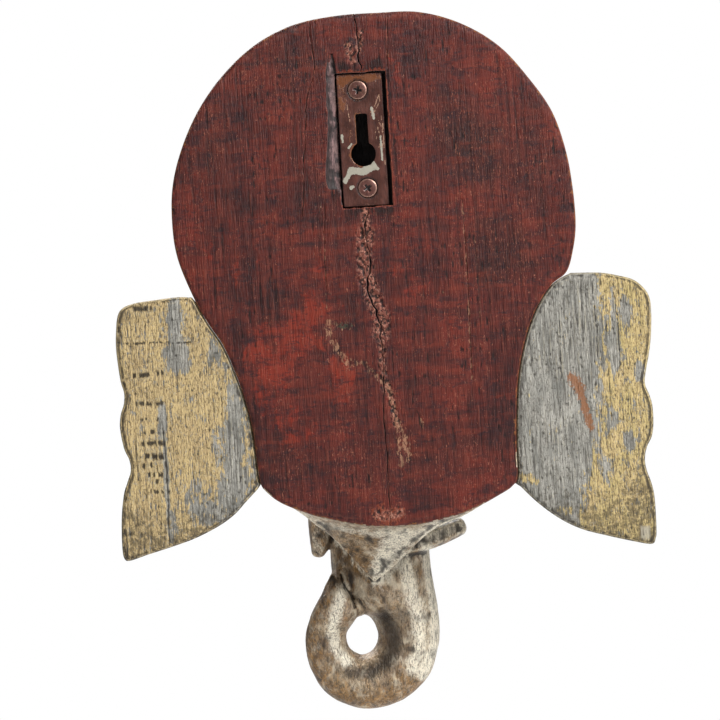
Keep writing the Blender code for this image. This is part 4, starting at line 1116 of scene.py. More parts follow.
def back_cutters():
    half = PLATE_WIDTH / 2
    floor = PLATE_RECESS + PLATE_THICKNESS + FIT_GAP
    cutters = [
        prism("pocket_cutter", hand_cut_box(
            -half - POCKET_SLACK_RIGHT, half + POCKET_SLACK_LEFT,
            PLATE_BOTTOM - POCKET_SLACK_END, PLATE_TOP + POCKET_SLACK_END, 71,
        ), -MM, floor),
        prism("cavity_cutter", keyhole_outline(CAVITY_MARGIN), floor - MM, floor + CAVITY_DEPTH),
    ]
    for name, (x, z) in SCREW_PLACES.items():
        pilot = circle_outline(SCREW_SHANK_RADIUS + FIT_GAP, x, z)
        cutters.append(prism(f"{name}_pilot", pilot, floor - MM, PLATE_RECESS + SCREW_LENGTH + MM))
    cutters.append(splinter_cutter())
    for cracks, depth, seed in ((MAIN_CRACKS, 3.2 * MM, 80), (FINE_CRACKS, 1.5 * MM, 90)):
        for k, (name, (half_width, line)) in enumerate(cracks.items()):
            cutters.append(wedge(name, half_width, line, depth, seed + k))
    return cutters


# %% [markdown]
# ## Putting the head together
#
# The back skin and the carving are united, then the pocket and the cracks are cut. Faces are
# sorted by where they lie: paint on the flat back, bare wood in the pocket and the cracks, and the
# worn gilding on everything carved.

# %% Make the head


def make_head():
    skin = board(
        "head_piece", HEAD_EDGE, back_places(), 2.2, BACK_BEVEL, head_back,
        lambda places: np.full(len(places), SKIN_DEPTH),
    )
    print("back skin:", triangles_in(skin), "triangles")
    combine(skin, [carving_form()], "UNION")
    combine(skin, back_cutters(), "DIFFERENCE")
    print("head:", triangles_in(skin), "triangles")
    return skin


head_piece = make_head()

# %% [markdown]
# ## The ear boards
#
# Each ear is a separate thin board butted to the head. Its back shows open vertical grain, a saw
# line, rows of short blade dashes and edges worn round. The front is dished and fluted. Both faces
# come from the same board helper, so they are one closed piece.

# %% Ears
EAR_BACK_STEP = 0.8 * MM
EAR_THICKNESS = 9.5 * MM
EAR_RIM_RISE = 2.2 * MM
EAR_BOWL_DEPTH = 3.0 * MM
EAR_ROOT_SIDE = 46.0 * MM
EAR_ROOT_Z = -112.0 * MM
EAR_FOLD_RISE = 1.1 * MM
EAR_FOLDS_START, EAR_FOLDS_FULL = 62.0 * MM, 100.0 * MM
EAR_SEAT_TRIM = 1.5 * MM
EAR_SEAT_SIDE = 40.0 * MM
EAR_WEAR = 0.9 * MM
EARS = {
    "left_ear_board": (LEFT_EAR_EDGE, np.array((81.0, -128.0)) * MM, 1, "left_ear"),
    "right_ear_board": (RIGHT_EAR_EDGE, np.array((-87.0, -130.0)) * MM, -1, "right_ear"),
}
# Rows of short blade dashes on the left ear: (z, first x, last x, strength), mm.
DASH_ROWS = [
    (-80.6, 93, 103, 0.8), (-95.8, 95, 104, 0.3), (-108, 90, 103, 0.7), (-120.4, 90, 102, 0.6),
    (-127, 92, 104, 0.4), (-132.4, 91, 99, 0.6), (-137.2, 90, 101, 0.7), (-142.6, 89, 101, 1.0),
    (-146.4, 90, 101, 0.9), (-150.4, 89, 99, 0.7), (-153.4, 90, 99, 0.6), (-157.5, 89, 98, 0.5),
]
SAW_LINE = [(107, -94.2), (98, -94.8), (88, -95.2), (77.5, -95.6)]
LEFT_EAR_SEAM = [(91.2, -133), (90.6, -150), (91, -165), (91.4, -180)]
RIGHT_EAR_CHECKS = [
    (0.3, [(-92.5, -80), (-93.4, -100), (-93, -112)]),
    (0.3, [(-101.5, -82), (-102.4, -104), (-102, -117)]),
    (0.25, [(-78, -95), (-77.4, -120)]),
]


def ear_outline(edge, side):
    """The ear's closed edge: the free edge, then back up along the head with the joint's gap."""
    free = spline_points(edge, 8, closed=False) * MM
    seat = offset_outline(HEAD_EDGE, FIT_GAP)
    below = seat[:, 1] < edge[0][1] * MM - EAR_SEAT_TRIM
    above = seat[:, 1] > edge[-1][1] * MM + EAR_SEAT_TRIM
    beside = seat[(seat[:, 0] * side > EAR_SEAT_SIDE) & below & above]
    return np.concatenate([free, beside[np.argsort(beside[:, 1])]])


def ear_front(places, centre, half_size):
    x, z = places.T
    dx, dz = ((places - centre) / half_size).T
    edge = np.maximum(np.abs(dx), np.abs(dz))
    out = np.abs(x - MIDDLE_X)
    turn = np.arctan2(z - EAR_ROOT_Z, out - EAR_ROOT_SIDE)
    folds = np.cos(9 * turn + 1.2) * smooth_step(EAR_FOLDS_START, EAR_FOLDS_FULL, out)
    bowl = EAR_BOWL_DEPTH * bell(np.hypot(dx, 0.9 * dz), 1.15)
    depth = EAR_BACK_STEP + EAR_THICKNESS - bowl + EAR_FOLD_RISE * folds * smooth_step(1.02, 0.8, edge)
    depth += EAR_RIM_RISE * bell(edge - 0.83, 0.11)
    return depth + 0.12 * MM * noise_at(x, z, 1.3 * MM, 9 * MM, 21)


def dash_marks(places):
    """Short level cuts in rows, each of its own length and weight."""
    x, z = places.T
    marks = np.zeros(len(places))
    for k, (height, first, last, strength) in enumerate(DASH_ROWS):
        along = smooth_step(first - 1, first + 1, x / MM) * smooth_step(last + 1, last - 1, x / MM)
        gaps = smooth_step(0.0, 0.2, noise_at(x, z * 0, 1.0 * MM, MM, 200 + k))
        line = height + 0.45 * noise_at(x, z * 0, 3.5 * MM, MM, 230 + k)
        marks = np.maximum(marks, strength * along * gaps * bell(z / MM - line, 0.9 + 1.1 * strength))
    return marks


def ear_back(places, side, outline):
    x, z = places.T
    seed = 300 + side
    depth = EAR_BACK_STEP + 0.4 * MM + 0.12 * MM * noise_at(x, z, 14 * MM, 40 * MM, seed)
    grain = 0.11 * noise_at(x, z, 1.2 * MM, 17 * MM, seed + 2)
    grain = grain + 0.09 * noise_at(x, z, 0.7 * MM, 7 * MM, seed + 4)
    depth -= MM * grain * (0.8 + 0.5 * noise_at(x, z, 12 * MM, 18 * MM, seed + 6))
    depth += 0.12 * MM * smooth_step(0.55, 0.85, noise_at(x, z, 0.7 * MM, 1.9 * MM, seed + 8))
    if side > 0:
        depth += 0.5 * MM * dash_marks(places)
        depth += 0.35 * MM * near_strokes(places, [(0.45, SAW_LINE), (0.5, LEFT_EAR_SEAM)])
    else:
        depth += 0.4 * MM * near_strokes(places, RIGHT_EAR_CHECKS)
    rim = distance_to(places, outline, closed=True)
    chips = smooth_step(0.3, 0.7, noise_at(x, z, 2.6 * MM, 3.4 * MM, seed + 10))
    return depth + (0.45 + 0.5 * chips) * MM * bell(rim, 2.6 * MM)


def make_ear(name, edge, centre, side):
    outline = ear_outline(edge, side)
    half_size = (outline.max(0) - outline.min(0)) / 2
    places = scatter(offset_outline(outline, -EAR_WEAR - 0.3 * MM), 0.46 * MM, 1.0 * MM, 9)
    made = board(
        name, outline, places, 2.0, EAR_WEAR, lambda spots: ear_back(spots, side, outline),
        lambda spots: ear_front(spots, centre, half_size) - 0.15 * MM,
    )
    print(name, triangles_in(made), "triangles")
    return made


ear_boards = {name: make_ear(name, *row[:3]) for name, row in EARS.items()}

# %% [markdown]
# ## Keyhole plate and screws
#
# The plate is a thin steel strip, painted over in place, so its edges are soft with paint and rust
# has lifted it in places. Countersinks and the keyhole are cut with Booleans for clean walls.
# Both screws are the same screw turned differently: it is made once as a turned profile with a
# cross cut into it, and a node tree sets one on each point and turns it.

# %% Plate
PLATE_CORNER = 0.8 * MM


def plate_outline():
    half = PLATE_WIDTH / 2 - 0.05 * MM
    corners = [(-half, PLATE_BOTTOM), (-half, PLATE_TOP), (half, PLATE_TOP), (half, PLATE_BOTTOM)]
    corners = np.array(corners) + [(0, 0.05 * MM), (0, -0.05 * MM), (0, -0.05 * MM), (0, 0.05 * MM)]
    points = []
    for before, corner, after in zip(np.roll(corners, 1, axis=0), corners, np.roll(corners, -1, axis=0)):
        inward = [(other - corner) / np.linalg.norm(other - corner) for other in (before, after)]
        for share in (0.0, 0.35, 0.65, 1.0):
            points.append(corner + PLATE_CORNER * ((1 - share) ** 2 * inward[0] + share**2 * inward[1]))
        run = np.linalg.norm(after - corner) - 2 * PLATE_CORNER
        steps = int(run / MM)
        points += [corner + inward[1] * (PLATE_CORNER + run * k / steps) for k in range(1, steps)]
    return np.array(points)


def plate_face(places):
    x, z = places.T
    depth = PLATE_RECESS + 0.1 * MM + 0.05 * MM * noise_at(x, z, 6 * MM, 8 * MM, 401)
    depth += 0.035 * MM * noise_at(x, z, 1.1 * MM, 1.6 * MM, 402)
    lifted = smooth_step(0.3, 0.75, noise_at(x, z, 2.4 * MM, 3 * MM, 403))
    depth += 0.1 * MM * lifted * smooth_step(-25 * MM, 12 * MM, z)
    edge = distance_to(places, keyhole_outline(0.0), closed=True)
    depth += 0.16 * MM * bell(edge, 0.9 * MM)
    for sx, sz in SCREW_PLACES.values():
        away = np.hypot(x - sx, z - sz)
        depth += 0.12 * MM * bell(away - 4.3 * MM, 0.5 * MM)
    return depth


def make_plate():
    outline = plate_outline()
    places = scatter(offset_outline(outline, -0.4 * MM), 0.36 * MM, 0.36 * MM, 12)
    made = board(
        "keyhole_plate", outline, places, 1.0, 0.3 * MM, plate_face,
        lambda spots: np.full(len(spots), PLATE_RECESS + PLATE_THICKNESS - 0.02 * MM),
    )
    near, far = PLATE_RECESS - MM, PLATE_RECESS + PLATE_THICKNESS + MM
    cutters = [prism("keyhole_cutter", keyhole_outline(0.0), near, far)]
    for name, (x, z) in SCREW_PLACES.items():
        rows = [(4.35, -1.0), (4.35, 0.0), (4.3, 0.25), (2.0, 1.4), (2.0, 3.2)]
        cutters.append(lofted(f"{name}_seat", [
            in_space(circle_outline(radius * MM, x, z, 48), np.full(48, PLATE_RECESS + depth * MM))
            for radius, depth in rows
        ]))
    combine(made, cutters, "DIFFERENCE")
    print("plate:", triangles_in(made), "triangles")
    return made


keyhole_plate = make_plate()

# %% One screw, set twice by a node tree
SCREW_EDGE = 0.25 * MM
SCREW_POINT = 3.0 * MM
CROSS_SPAN, CROSS_WIDTH, CROSS_DEPTH = 4.2 * MM, 1.1 * MM, 1.1 * MM
CROSS_TURNS = {"upper_screw": -15.0, "lower_screw": 35.0}


def turned_screw():
    head = SCREW_HEAD_RADIUS
    profile = [
        (0.02 * head, -SCREW_CROWN), (0.3 * head, -0.95 * SCREW_CROWN), (0.55 * head, -0.82 * SCREW_CROWN),
        (0.78 * head, -0.55 * SCREW_CROWN), (0.93 * head, -0.2 * SCREW_CROWN), (0.985 * head, 0.0),
        (0.985 * head, SCREW_EDGE), (SCREW_SHANK_RADIUS, SCREW_HEAD_DEPTH),
        (SCREW_SHANK_RADIUS, SCREW_LENGTH - SCREW_POINT), (0.1 * SCREW_SHANK_RADIUS, SCREW_LENGTH),
    ]
    rings = [
        in_space(circle_outline(radius, 0, 0, 64), np.full(64, BACK_Y + depth)) for radius, depth in profile
    ]
    screw = lofted("one_screw", rings)
    arms = []
    for across, along in ((CROSS_SPAN, CROSS_WIDTH), (CROSS_WIDTH, CROSS_SPAN)):
        rows = []
        floor = CROSS_DEPTH - SCREW_CROWN
        for share, depth in ((1.0, -SCREW_CROWN - MM), (1.0, -SCREW_CROWN), (0.55, floor)):
            w, h = (across / 2 * share, along / 2) if across > along else (across / 2, along / 2 * share)
            box = np.array([(-w, -h), (-w, h), (w, h), (w, -h)])
            rows.append(in_space(box, np.full(4, BACK_Y + depth)))
        arms.append(lofted("cross_arm", rows))
    return combine(screw, arms, "DIFFERENCE")


def screw_tree():
    tree, given, result = tree_with("set screws", [
        ("Geometry", "NodeSocketGeometry", None),
        ("Screw", "NodeSocketObject", None),
        ("Largest turn", "NodeSocketFloat", 1.0),
        ("Material", "NodeSocketMaterial", None),
    ])
    screw = add(tree, "GeometryNodeObjectInfo", {"Object": given["Screw"]}, "Geometry")
    share = add(tree, "GeometryNodeInputNamedAttribute", {"Name": "turn"}, data_type="FLOAT")
    turn = add(tree, "ShaderNodeMath", {0: share, 1: given["Largest turn"]}, operation="MULTIPLY")
    rotation = add(tree, "FunctionNodeEulerToRotation", {0: add(tree, "ShaderNodeCombineXYZ", {"Y": turn})})
    return set_on_points(tree, given, result, screw, Rotation=rotation)


one_screw = turned_screw()
screw_points = points_object("hanger_screws", [(x, 0, z) for x, z in SCREW_PLACES.values()])
turns = screw_points.data.attributes.new("turn", "FLOAT", "POINT")
turns.data.foreach_set("value", np.radians(list(CROSS_TURNS.values())))
hanger_screws = run_tree(screw_points, screw_tree(), {
    "Screw": one_screw, "Largest turn": 1.0, "Material": plain_surface,
})
bpy.data.objects.remove(one_screw)
hanger_screws.data.materials.clear()
print("screws:", triangles_in(hanger_screws), "triangles")

# %% [markdown]
# ## Wear, painted highlights and painted shade, worked out from the finished shapes
#
# Old paint wears off ridges and dirt gathers in hollows, so the finished mesh itself says where.
# A point that lies below the average of its neighbours is in a hollow. That value, and soft
# strokes and spots for the marks that the mask really has and for painted highlights and painted
# shade, are stored on the points as named attributes. The materials mix their colours by them.

# %% Measure hollows, place the marks
def store(obj, **marks):
    """Numbers for each point, as named attributes that a material can read."""
    for name, values in marks.items():
        layer = obj.data.attributes.get(name) or obj.data.attributes.new(name, "FLOAT", "POINT")
        layer.data.foreach_set("value", np.clip(values, 0, 1).astype(np.float32))
def hollowness(obj, rounds, reach, local=False):
    """0 on ridges, 0.5 on plain ground and 1 in hollows that are as deep as reach.
    With local, the slow swell of the form is taken off first, so only small marks are left."""
    points = positions(obj)
    rise = np.sum((averaged(obj, points, rounds) - points) * point_normals(obj), axis=1)
    if local:
        rise -= averaged(obj, rise[:, None], 14)[:, 0]
    return np.clip(0.5 + 0.5 * rise / reach, 0, 1)


def worn_hollows(obj, fine_reach, broad_reach):
    """Small marks count both ways, and broad forms only where they are hollow."""
    fine = hollowness(obj, 5, fine_reach, local=True)
    broad = hollowness(obj, 30, broad_reach)
    return 0.5 + 0.7 * (fine - 0.5) + 0.6 * np.maximum(broad - 0.5, 0)


BRIGHT_RED = [
    (42, -101, 22, 22, 0.8), (27, -93, 14, 16, 0.7), (15.6, -115, 12, 18, 0.8), (46, -121, 14, 18, 0.5),
    (33, -135, 16, 18, 0.6), (22, -75, 20, 20, 0.4), (60, -60, 22, 30, 0.35), (-20, -70, 18, 30, 0.4),
    (-15, 15, 14, 14, 0.35),
]
DARK_RED = [
    (-49, -22, 20, 26, 0.8), (-55, -65, 22, 22, 0.7), (-37, -9, 14, 18, 0.6), (30, 15, 26, 16, 0.5),
    (66, -12, 16, 26, 0.4), (-62, -100, 16, 16, 0.4), (40, -150, 20, 14, 0.45), (-35, -150, 26, 18, 0.35),
    (-70, -30, 14, 30, 0.4), (2, -152, 30, 20, 0.35), (4, -30, 34, 30, 0.25),
]
ORANGE_PATCH = [(1, -172, 9, 6.5, 0.7), (-6, -172.5, 5, 3.6, 0.8), (-2, -176, 7, 3.4, 0.75)]
CREAM_FLECKS = [
    (-7.5, -135.6, 1.4, 2.4, 1), (-10.1, -142.1, 1.2, 2.2, 1), (-11.8, -148.5, 1.2, 2.0, 0.9),
    (-8.2, -151.7, 1, 1.8, 0.8), (-17.2, -135.4, 1.2, 1.2, 0.8), (4.1, 25, 1.6, 2, 0.8),
]
# Gold-brown on the trunk, lip and tusks: partly the gilding's own gold, partly painted shade, the dark brown
# on the sides of the curl and tusks that turn from the light, (half width, points, strength), mm.
GOLD_AND_SHADE_STROKES = [
    (10, [(30, -205), (36, -218), (37.5, -232), (33.5, -245), (25, -253)], 1.0),
    (10, [(25, -253), (12, -257), (-2, -255), (-12, -248)], 0.9),
    (7, [(-2, -246), (-10, -240)], 0.5), (7.5, [(15, -189), (12, -195), (8.5, -201)], 1.0),
    (9, [(26, -158), (28, -178), (29, -188)], 0.8), (8, [(24, -172), (14, -181)], 0.5),
    (6, [(4, -186), (-2, -184)], 0.45), (6, [(-24, -186), (-32, -183)], 0.35),
    (7, [(20, -192), (14, -206)], 0.4),
]
# Painted highlights: pale silver-cream where the trunk, lip and tusks face the light, (half width, points,
# strength), mm.
PAINTED_HIGHLIGHT_STROKES = [
    (4.2, [(20, -206), (23.4, -214), (25.6, -222), (25, -231), (20.5, -238)], 0.85),
    (5.5, [(-5, -190), (-7.5, -198), (-9, -208), (-12, -220), (-12, -232), (-8, -242)], 0.8),
    (4.2, [(-16.5, -190), (-18.5, -205), (-19.5, -220), (-18, -234), (-12, -246)], 1.1),
    (7.5, [(-4, -184), (0.4, -192), (3.6, -200)], 1.2), (3.2, [(40, -168), (24, -177), (5, -181)], 0.5),
    (3.4, [(3, -181), (-14, -182), (-30, -179)], 0.8), (5, [(-6, -186), (-11, -184)], 0.8),
    (1.1, [(30, -176), (23.3, -183), (15.8, -192.6), (6.6, -204.2), (-3.8, -196.4), (-12.8, -187.8)], 0.9),
    (8, [(-17, -184), (-24, -182), (-34, -180)], 1.1), (4, [(27, -160), (29, -176), (30, -190)], 0.3),
    (3, [(33, -213), (35, -222)], 0.25),
]
# Painted shade on the carving: inside the curl's hole, under the lip, by the tusks and along the sides that
# turn from the light, (half width, points, strength), mm.
PAINTED_SHADE_STROKES = [
    (6.5, [(3, -219), (-0.6, -226), (-0.6, -234), (4, -240)], 0.95),
    (5.2, [(3, -240), (12, -243.4), (20, -242)], 0.85), (5, [(-4, -216), (-7, -226), (-5, -236)], 0.45),
    (4, [(23, -188), (15, -200.5), (8.5, -206)], 0.3), (3.4, [(2, -204), (-6, -195), (-14, -187.5)], 0.45),
    (2.6, [(24, -196), (30, -206), (36.5, -218), (39, -232)], 0.6), (6, [(13, -207), (4, -211)], 0.3),
    (2.4, [(-13, -188.4), (-17, -187.6)], 0.5), (3, [(24.5, -176), (24.5, -188)], 0.7),
    (4, [(38, -236), (33, -249), (20, -258)], 0.5), (5, [(24, -240), (29, -236)], 0.35),
    (2, [(0.4, -178), (-0.6, -183)], 0.5),
]
GREEN_FLECKS = [(12, -92.5, 6, 1.8, 1), (16, -99, 2, 4, 0.4)]
# How deep below the flat back the paint, the facet's paint, the painted edge and split wood reach.
PAINT_REACH, FACET_PAINT, EDGE_PAINT, SPLIT_REACH = 1.15 * MM, 0.75 * MM, 2.1 * MM, 15.5 * MM
FACET_SIDE = 9.6 * MM
EDGE_PAINT_FOOT = -150 * MM
PAINT_FOOT = -179 * MM
CARVED_FROM = 2 * MM


def finish_slots(mesh):
    """0 for painted, 1 for gilded and 2 for split faces, by where each face lies."""
    centres, facing = vectors_of(mesh.polygons, "center"), vectors_of(mesh.polygons, "normal")[:, 1]
    spots, deep = centres[:, [0, 2]], BACK_Y - centres[:, 1]
    within = inside(spots, offset_outline(HEAD_EDGE, -1.2 * MM))
    facet = np.array(SPLINTER_LINE)[::-1] * MM
    beside = np.interp(spots[:, 1], facet[:, 2], facet[:, 0], left=0, right=0) + 0.4 * MM
    facet_zone = (spots[:, 0] > FACET_SIDE) & (spots[:, 0] < beside) & (deep > FACET_PAINT)
    edge_zone = ~within & (deep < EDGE_PAINT) & (spots[:, 1] > EDGE_PAINT_FOOT)
    painted = ((deep < PAINT_REACH) & (facing > 0.25) & ~facet_zone) | edge_zone
    painted &= spots[:, 1] > PAINT_FOOT
    split = within & ~painted & (deep < SPLIT_REACH) & (deep > 0)
    return np.where(painted, 0, np.where(split, 2, 1)).astype(np.int32)


def outside_pocket(places):
    """How far each place lies outside the pocket's edge."""
    middle = np.array([POCKET_SLACK_LEFT - POCKET_SLACK_RIGHT, PLATE_TOP + PLATE_BOTTOM]) / 2
    half = np.array([PLATE_WIDTH / 2 + 1.15 * MM, (PLATE_TOP - PLATE_BOTTOM) / 2 + 0.5 * MM])
    return np.maximum((np.abs(places - middle) - half).max(1), 0)


def dress_head(obj, surfaces):
    """Three finishes by place, and the marks."""
    obj.data.materials.clear()
    for surface in surfaces:
        obj.data.materials.append(surface)
    obj.data.polygons.foreach_set("material_index", finish_slots(obj.data))
    points = positions(obj)
    places, depth = points[:, [0, 2]], BACK_Y - points[:, 1]
    front = depth > CARVED_FROM
    pocket_edge = bell(outside_pocket(places), 0.8 * MM) * (depth < 1.5 * MM)
    rim = distance_to(places, HEAD_EDGE[::2], closed=True)
    store(
        obj,
        hollow=worn_hollows(obj, np.where(front, 0.12, 0.1) * MM, np.where(front, 2.2, 0.6) * MM),
        crumble=near_strokes(places, CRUMBLED) * (depth < CARVED_FROM),
        scuff=near_strokes(places, SCUFFED) + blobs(places, CREAM_FLECKS),
        bright=blobs(places, BRIGHT_RED),
        dark=blobs(places, DARK_RED),
        orange=blobs(places, ORANGE_PATCH) + 0.95 * pocket_edge,
        rim=bell(rim, 1.5 * MM) * (depth < 2.2 * MM),
        green=blobs(places, GREEN_FLECKS),
        # Gold-brown tone, and painted shade on the sides that turn from the light.
        warm=near_strokes(places, GOLD_AND_SHADE_STROKES) * front,
        # Painted highlights where the curl, lip and tusks face the light.
        silver=near_strokes(places, PAINTED_HIGHLIGHT_STROKES) * front,
        # Painted shade where the curl, lip and tusks turn from the light.
        soot=near_strokes(places, PAINTED_SHADE_STROKES) * front,
        # Depth below the back, for the painted shade in the cracks and the pocket.
        deep=smooth_step(0.3 * MM, 5 * MM, depth),
    )


GREY_LEFT = [
    (83.5, -86, 5.5, 13, 0.75), (83, -101, 8, 11, 0.7), (91.2, -128, 3, 12, 0.7), (91, -150, 1.6, 22, 0.9),
    (61, -132, 5, 22, 0.55), (64, -157, 9, 12, 0.6), (72, -168, 14, 8, 0.5), (90, -172, 3, 12, 0.5),
    (68, -100, 4, 10, 0.4), (80, -160, 10, 10, 0.35), (66, -140, 9, 14, 0.4),
]
GOLD_RIGHT_EDGE = [
    (-93, -76), (-95.7, -84.2), (-96.5, -105.3), (-93.4, -121.9), (-92.1, -142.9), (-86.9, -159.4),
    (-81.6, -175.9), (-80, -186),
]
GOLD_RIGHT = [(-60.2, -161.1, 5, 3.4, 0.7), (-63.5, -163, 3, 2.4, 0.6), (-75.3, -175.5, 5, 3, 0.5)]
GREY_RIGHT = [
    (-105.6, -93.2, 4, 9, 0.7), (-100.4, -109.7, 4, 14, 0.8), (-110.4, -118.8, 3, 6, 0.8),
    (-97.4, -139, 4, 9, 0.5), (-104.4, -147.9, 4, 7, 0.6), (-94, -159.8, 4, 9, 0.5), (-101, -96, 2, 16, 0.6),
]
RUST_RIGHT = [
    (4.4, [(-82, -120.6), (-84.6, -125)]),
    (3.0, [(-84.6, -125), (-86.6, -134.1), (-88.5, -141.5)]),
]
PALE_SQUARE = (-108.7 * MM, -187.3 * MM)


def dress_ear(obj, side, edge):
    points = positions(obj)
    places, depth = points[:, [0, 2]], BACK_Y - points[:, 1]
    x, z = places.T
    behind = depth < 3 * MM
    if side > 0:
        gilt = 0.78 - blobs(places, GREY_LEFT) - 0.3 * smooth_step(70 * MM, 56 * MM, x)
    else:
        line = np.array(GOLD_RIGHT_EDGE)[::-1] * MM
        boundary = np.interp(z, line[:, 1], line[:, 0])
        gilt = 0.05 + 0.73 * smooth_step(5 * MM, -5 * MM, x - boundary)
        gilt += blobs(places, GOLD_RIGHT) - blobs(places, GREY_RIGHT)
    rim = bell(distance_to(places, ear_outline(edge, side), closed=True), 1.5 * MM)
    low = 0.55 + 0.45 * smooth_step(-100 * MM, -165 * MM, z)
    across, up = np.abs(x - PALE_SQUARE[0]), np.abs(z - PALE_SQUARE[1])
    pale = smooth_step(2.3 * MM, 1.7 * MM, across) * smooth_step(3.0 * MM, 2.4 * MM, up)
    tip = smooth_step(98 * MM, 110 * MM, np.abs(x)) * smooth_step(-140 * MM, -170 * MM, z)
    store(
        obj,
        gilt=np.where(behind, gilt, 0.6),
        hollow=worn_hollows(obj, 0.12 * MM, 0.6 * MM),
        rim=rim * low * (depth < 5 * MM),
        dashes=dash_marks(places) * behind * (side > 0),
        rust=near_strokes(places, RUST_RIGHT) * behind * (side < 0),
        pale=pale * behind,
        # Darker towards the bottom of the ear and at its tip.
        soot=(smooth_step(-150 * MM, -182 * MM, z) + 0.5 * tip) * behind,
    )


PALE_PAINT = [
    (2.6, [(5.4, -27.4), (0.8, -28.4), (-3.2, -26.8)]), (1.8, [(6.6, -29), (8.4, -32)]),
    (1.1, [(-3.6, -24.6), (-5.6, -27.6)]), (1.3, [(5.2, -34.4), (6.2, -35)]),
    (0.8, [(8.6, -12.5), (8.4, -15.5)]),
    (1.0, [(-4.6, -2), (-5.2, -6.2)]), (0.7, [(-7.6, -14), (-7.8, -24)]),
    (0.8, [(4.8, -16.6), (6.2, -18.2)]),
    (1.5, [(3.4, -27.2), (7.2, -29.5)]),
]
PALE_SCRATCHES = [
    (0.28, [(-4.2, -3.8), (-6.2, -0.6), (-8, 3.6), (-8.2, 0.8), (-6.4, -2.4), (-4.8, -4.6)]),
    (0.24, [(-6.4, -6), (-8.2, -10), (-8.8, -14.6), (-8, -18.6), (-6.4, -18.4)]),
    (0.22, [(-6.6, -10), (-7.4, -14), (-7, -18)]), (0.22, [(-8.4, -5), (-9, -12), (-8.9, -19)]),
    (0.22, [(-5.4, -11), (-6, -15)]), (0.25, [(5.6, 0), (5.2, -4.6), (4.8, -7)]),
    (0.22, [(-8.8, -24), (-9.2, -31)]),
]
RUST_PLATE = [
    (6, 10.5, 8, 4, 1.0), (-4, 11, 8, 3.4, 0.9), (1, 4, 3, 5, 0.4), (7.6, 3, 3, 8, 0.7),
    (8.4, -2, 2, 6, 0.4),
    (4.8, -14, 2, 6, 0.5), (-1, -42, 8, 2, 0.4), (4.4, -21, 3, 3, 0.5),
]


def dress_plate(obj):
    points = positions(obj)
    places = points[:, [0, 2]]
    x, z = places.T
    on_top = points[:, 1] > -0.6 * MM
    hole = distance_to(places, keyhole_outline(0.0), closed=True)
    edge = distance_to(places, plate_outline(), closed=True)
    seats = sum(bell(np.hypot(x - sx, z - sz) - 4.5 * MM, 0.9 * MM) for sx, sz in SCREW_PLACES.values())
    hole_rust = 0.9 * bell(hole, 0.9 * MM) * (x > 0) + 0.3 * bell(hole, 0.7 * MM)
    store(
        obj,
        pale=near_strokes(places, PALE_PAINT) * on_top,
        scratch=near_strokes(places, PALE_SCRATCHES) * on_top,
        rust=blobs(places, RUST_PLATE) + hole_rust,
        # Darker round the screw seats, and painted shade along the plate's edges.
        dark=0.8 * seats + 0.7 * bell(edge, 0.8 * MM),
        hollow=hollowness(obj, 6, 0.06 * MM),
    )


def dress_screws(obj):
    x, y, z = positions(obj).T
    away = np.min([np.hypot(x - sx, z - sz) for sx, sz in SCREW_PLACES.values()], axis=0)
    store(
        obj,
        worn=bell(away - 3.75 * MM, 0.5 * MM) * (y > -0.3 * MM),
        recess=smooth_step(0.25 * MM, -0.15 * MM, y) * (away < 2.6 * MM),
        rust=np.where(z < -15 * MM, 0.25, 0.75),
    )


# %% [markdown]
# ## Shared effects as node groups
#
# Four effects return on every old surface, so each is a node group that only gives back a value or
# a colour: fine grain that runs down the board, patches where paint has worn through, small
# speckles, and grime that darkens hollows and clears ridges. They read the Object coordinates, so
# the pattern stays on the piece.

# %% Node helpers
PAINT_LEVEL = 0.73


def srgb(red, green, blue, level=PAINT_LEVEL):
    """A colour named by its 0 to 255 screen values, as the linear values that a shader takes.
    The level brings most colours down to the light's level; a colour given with level 1 stays brighter, as
    the painted highlights and the rubbed ridges on the gilding and the floor are."""
    shares = [value / 255 for value in (red, green, blue)]
    linear = [v / 12.92 if v <= 0.04045 else ((v + 0.055) / 1.055) ** 2.4 for v in shares]
    return (*(level * v for v in linear), 1.0)


def maths(tree, operation, first, second=0.5, clamp=False):
    return add(tree, "ShaderNodeMath", {0: first, 1: second}, operation=operation, use_clamp=clamp)


def span(tree, value, low, high, to_low=0.0, to_high=1.0):
    """A smooth change from one level to another while value goes from low to high."""
    return add(tree, "ShaderNodeMapRange", {
        "Value": value, "From Min": low, "From Max": high, "To Min": to_low, "To Max": to_high,
    }, interpolation_type="SMOOTHSTEP")


def mix(tree, factor, first, second):
    """Inputs 6 and 7 and output 2 are the colours of the mix node."""
    return add(tree, "ShaderNodeMix", {0: factor, 6: first, 7: second}, 2, data_type="RGBA")


def shader_group(name, sockets, gives="NodeSocketFloat"):
    """A node group with named inputs and one output. A tuple makes a colour input."""
    group = bpy.data.node_groups.new(name, "ShaderNodeTree")
    for label, value in sockets.items():
        kind = "NodeSocketColor" if isinstance(value, tuple) else "NodeSocketFloat"
        group.interface.new_socket(label, in_out="INPUT", socket_type=kind).default_value = value
    group.interface.new_socket("Result", in_out="OUTPUT", socket_type=gives)
    return group, group.nodes.new("NodeGroupInput").outputs, group.nodes.new("NodeGroupOutput").inputs[0]


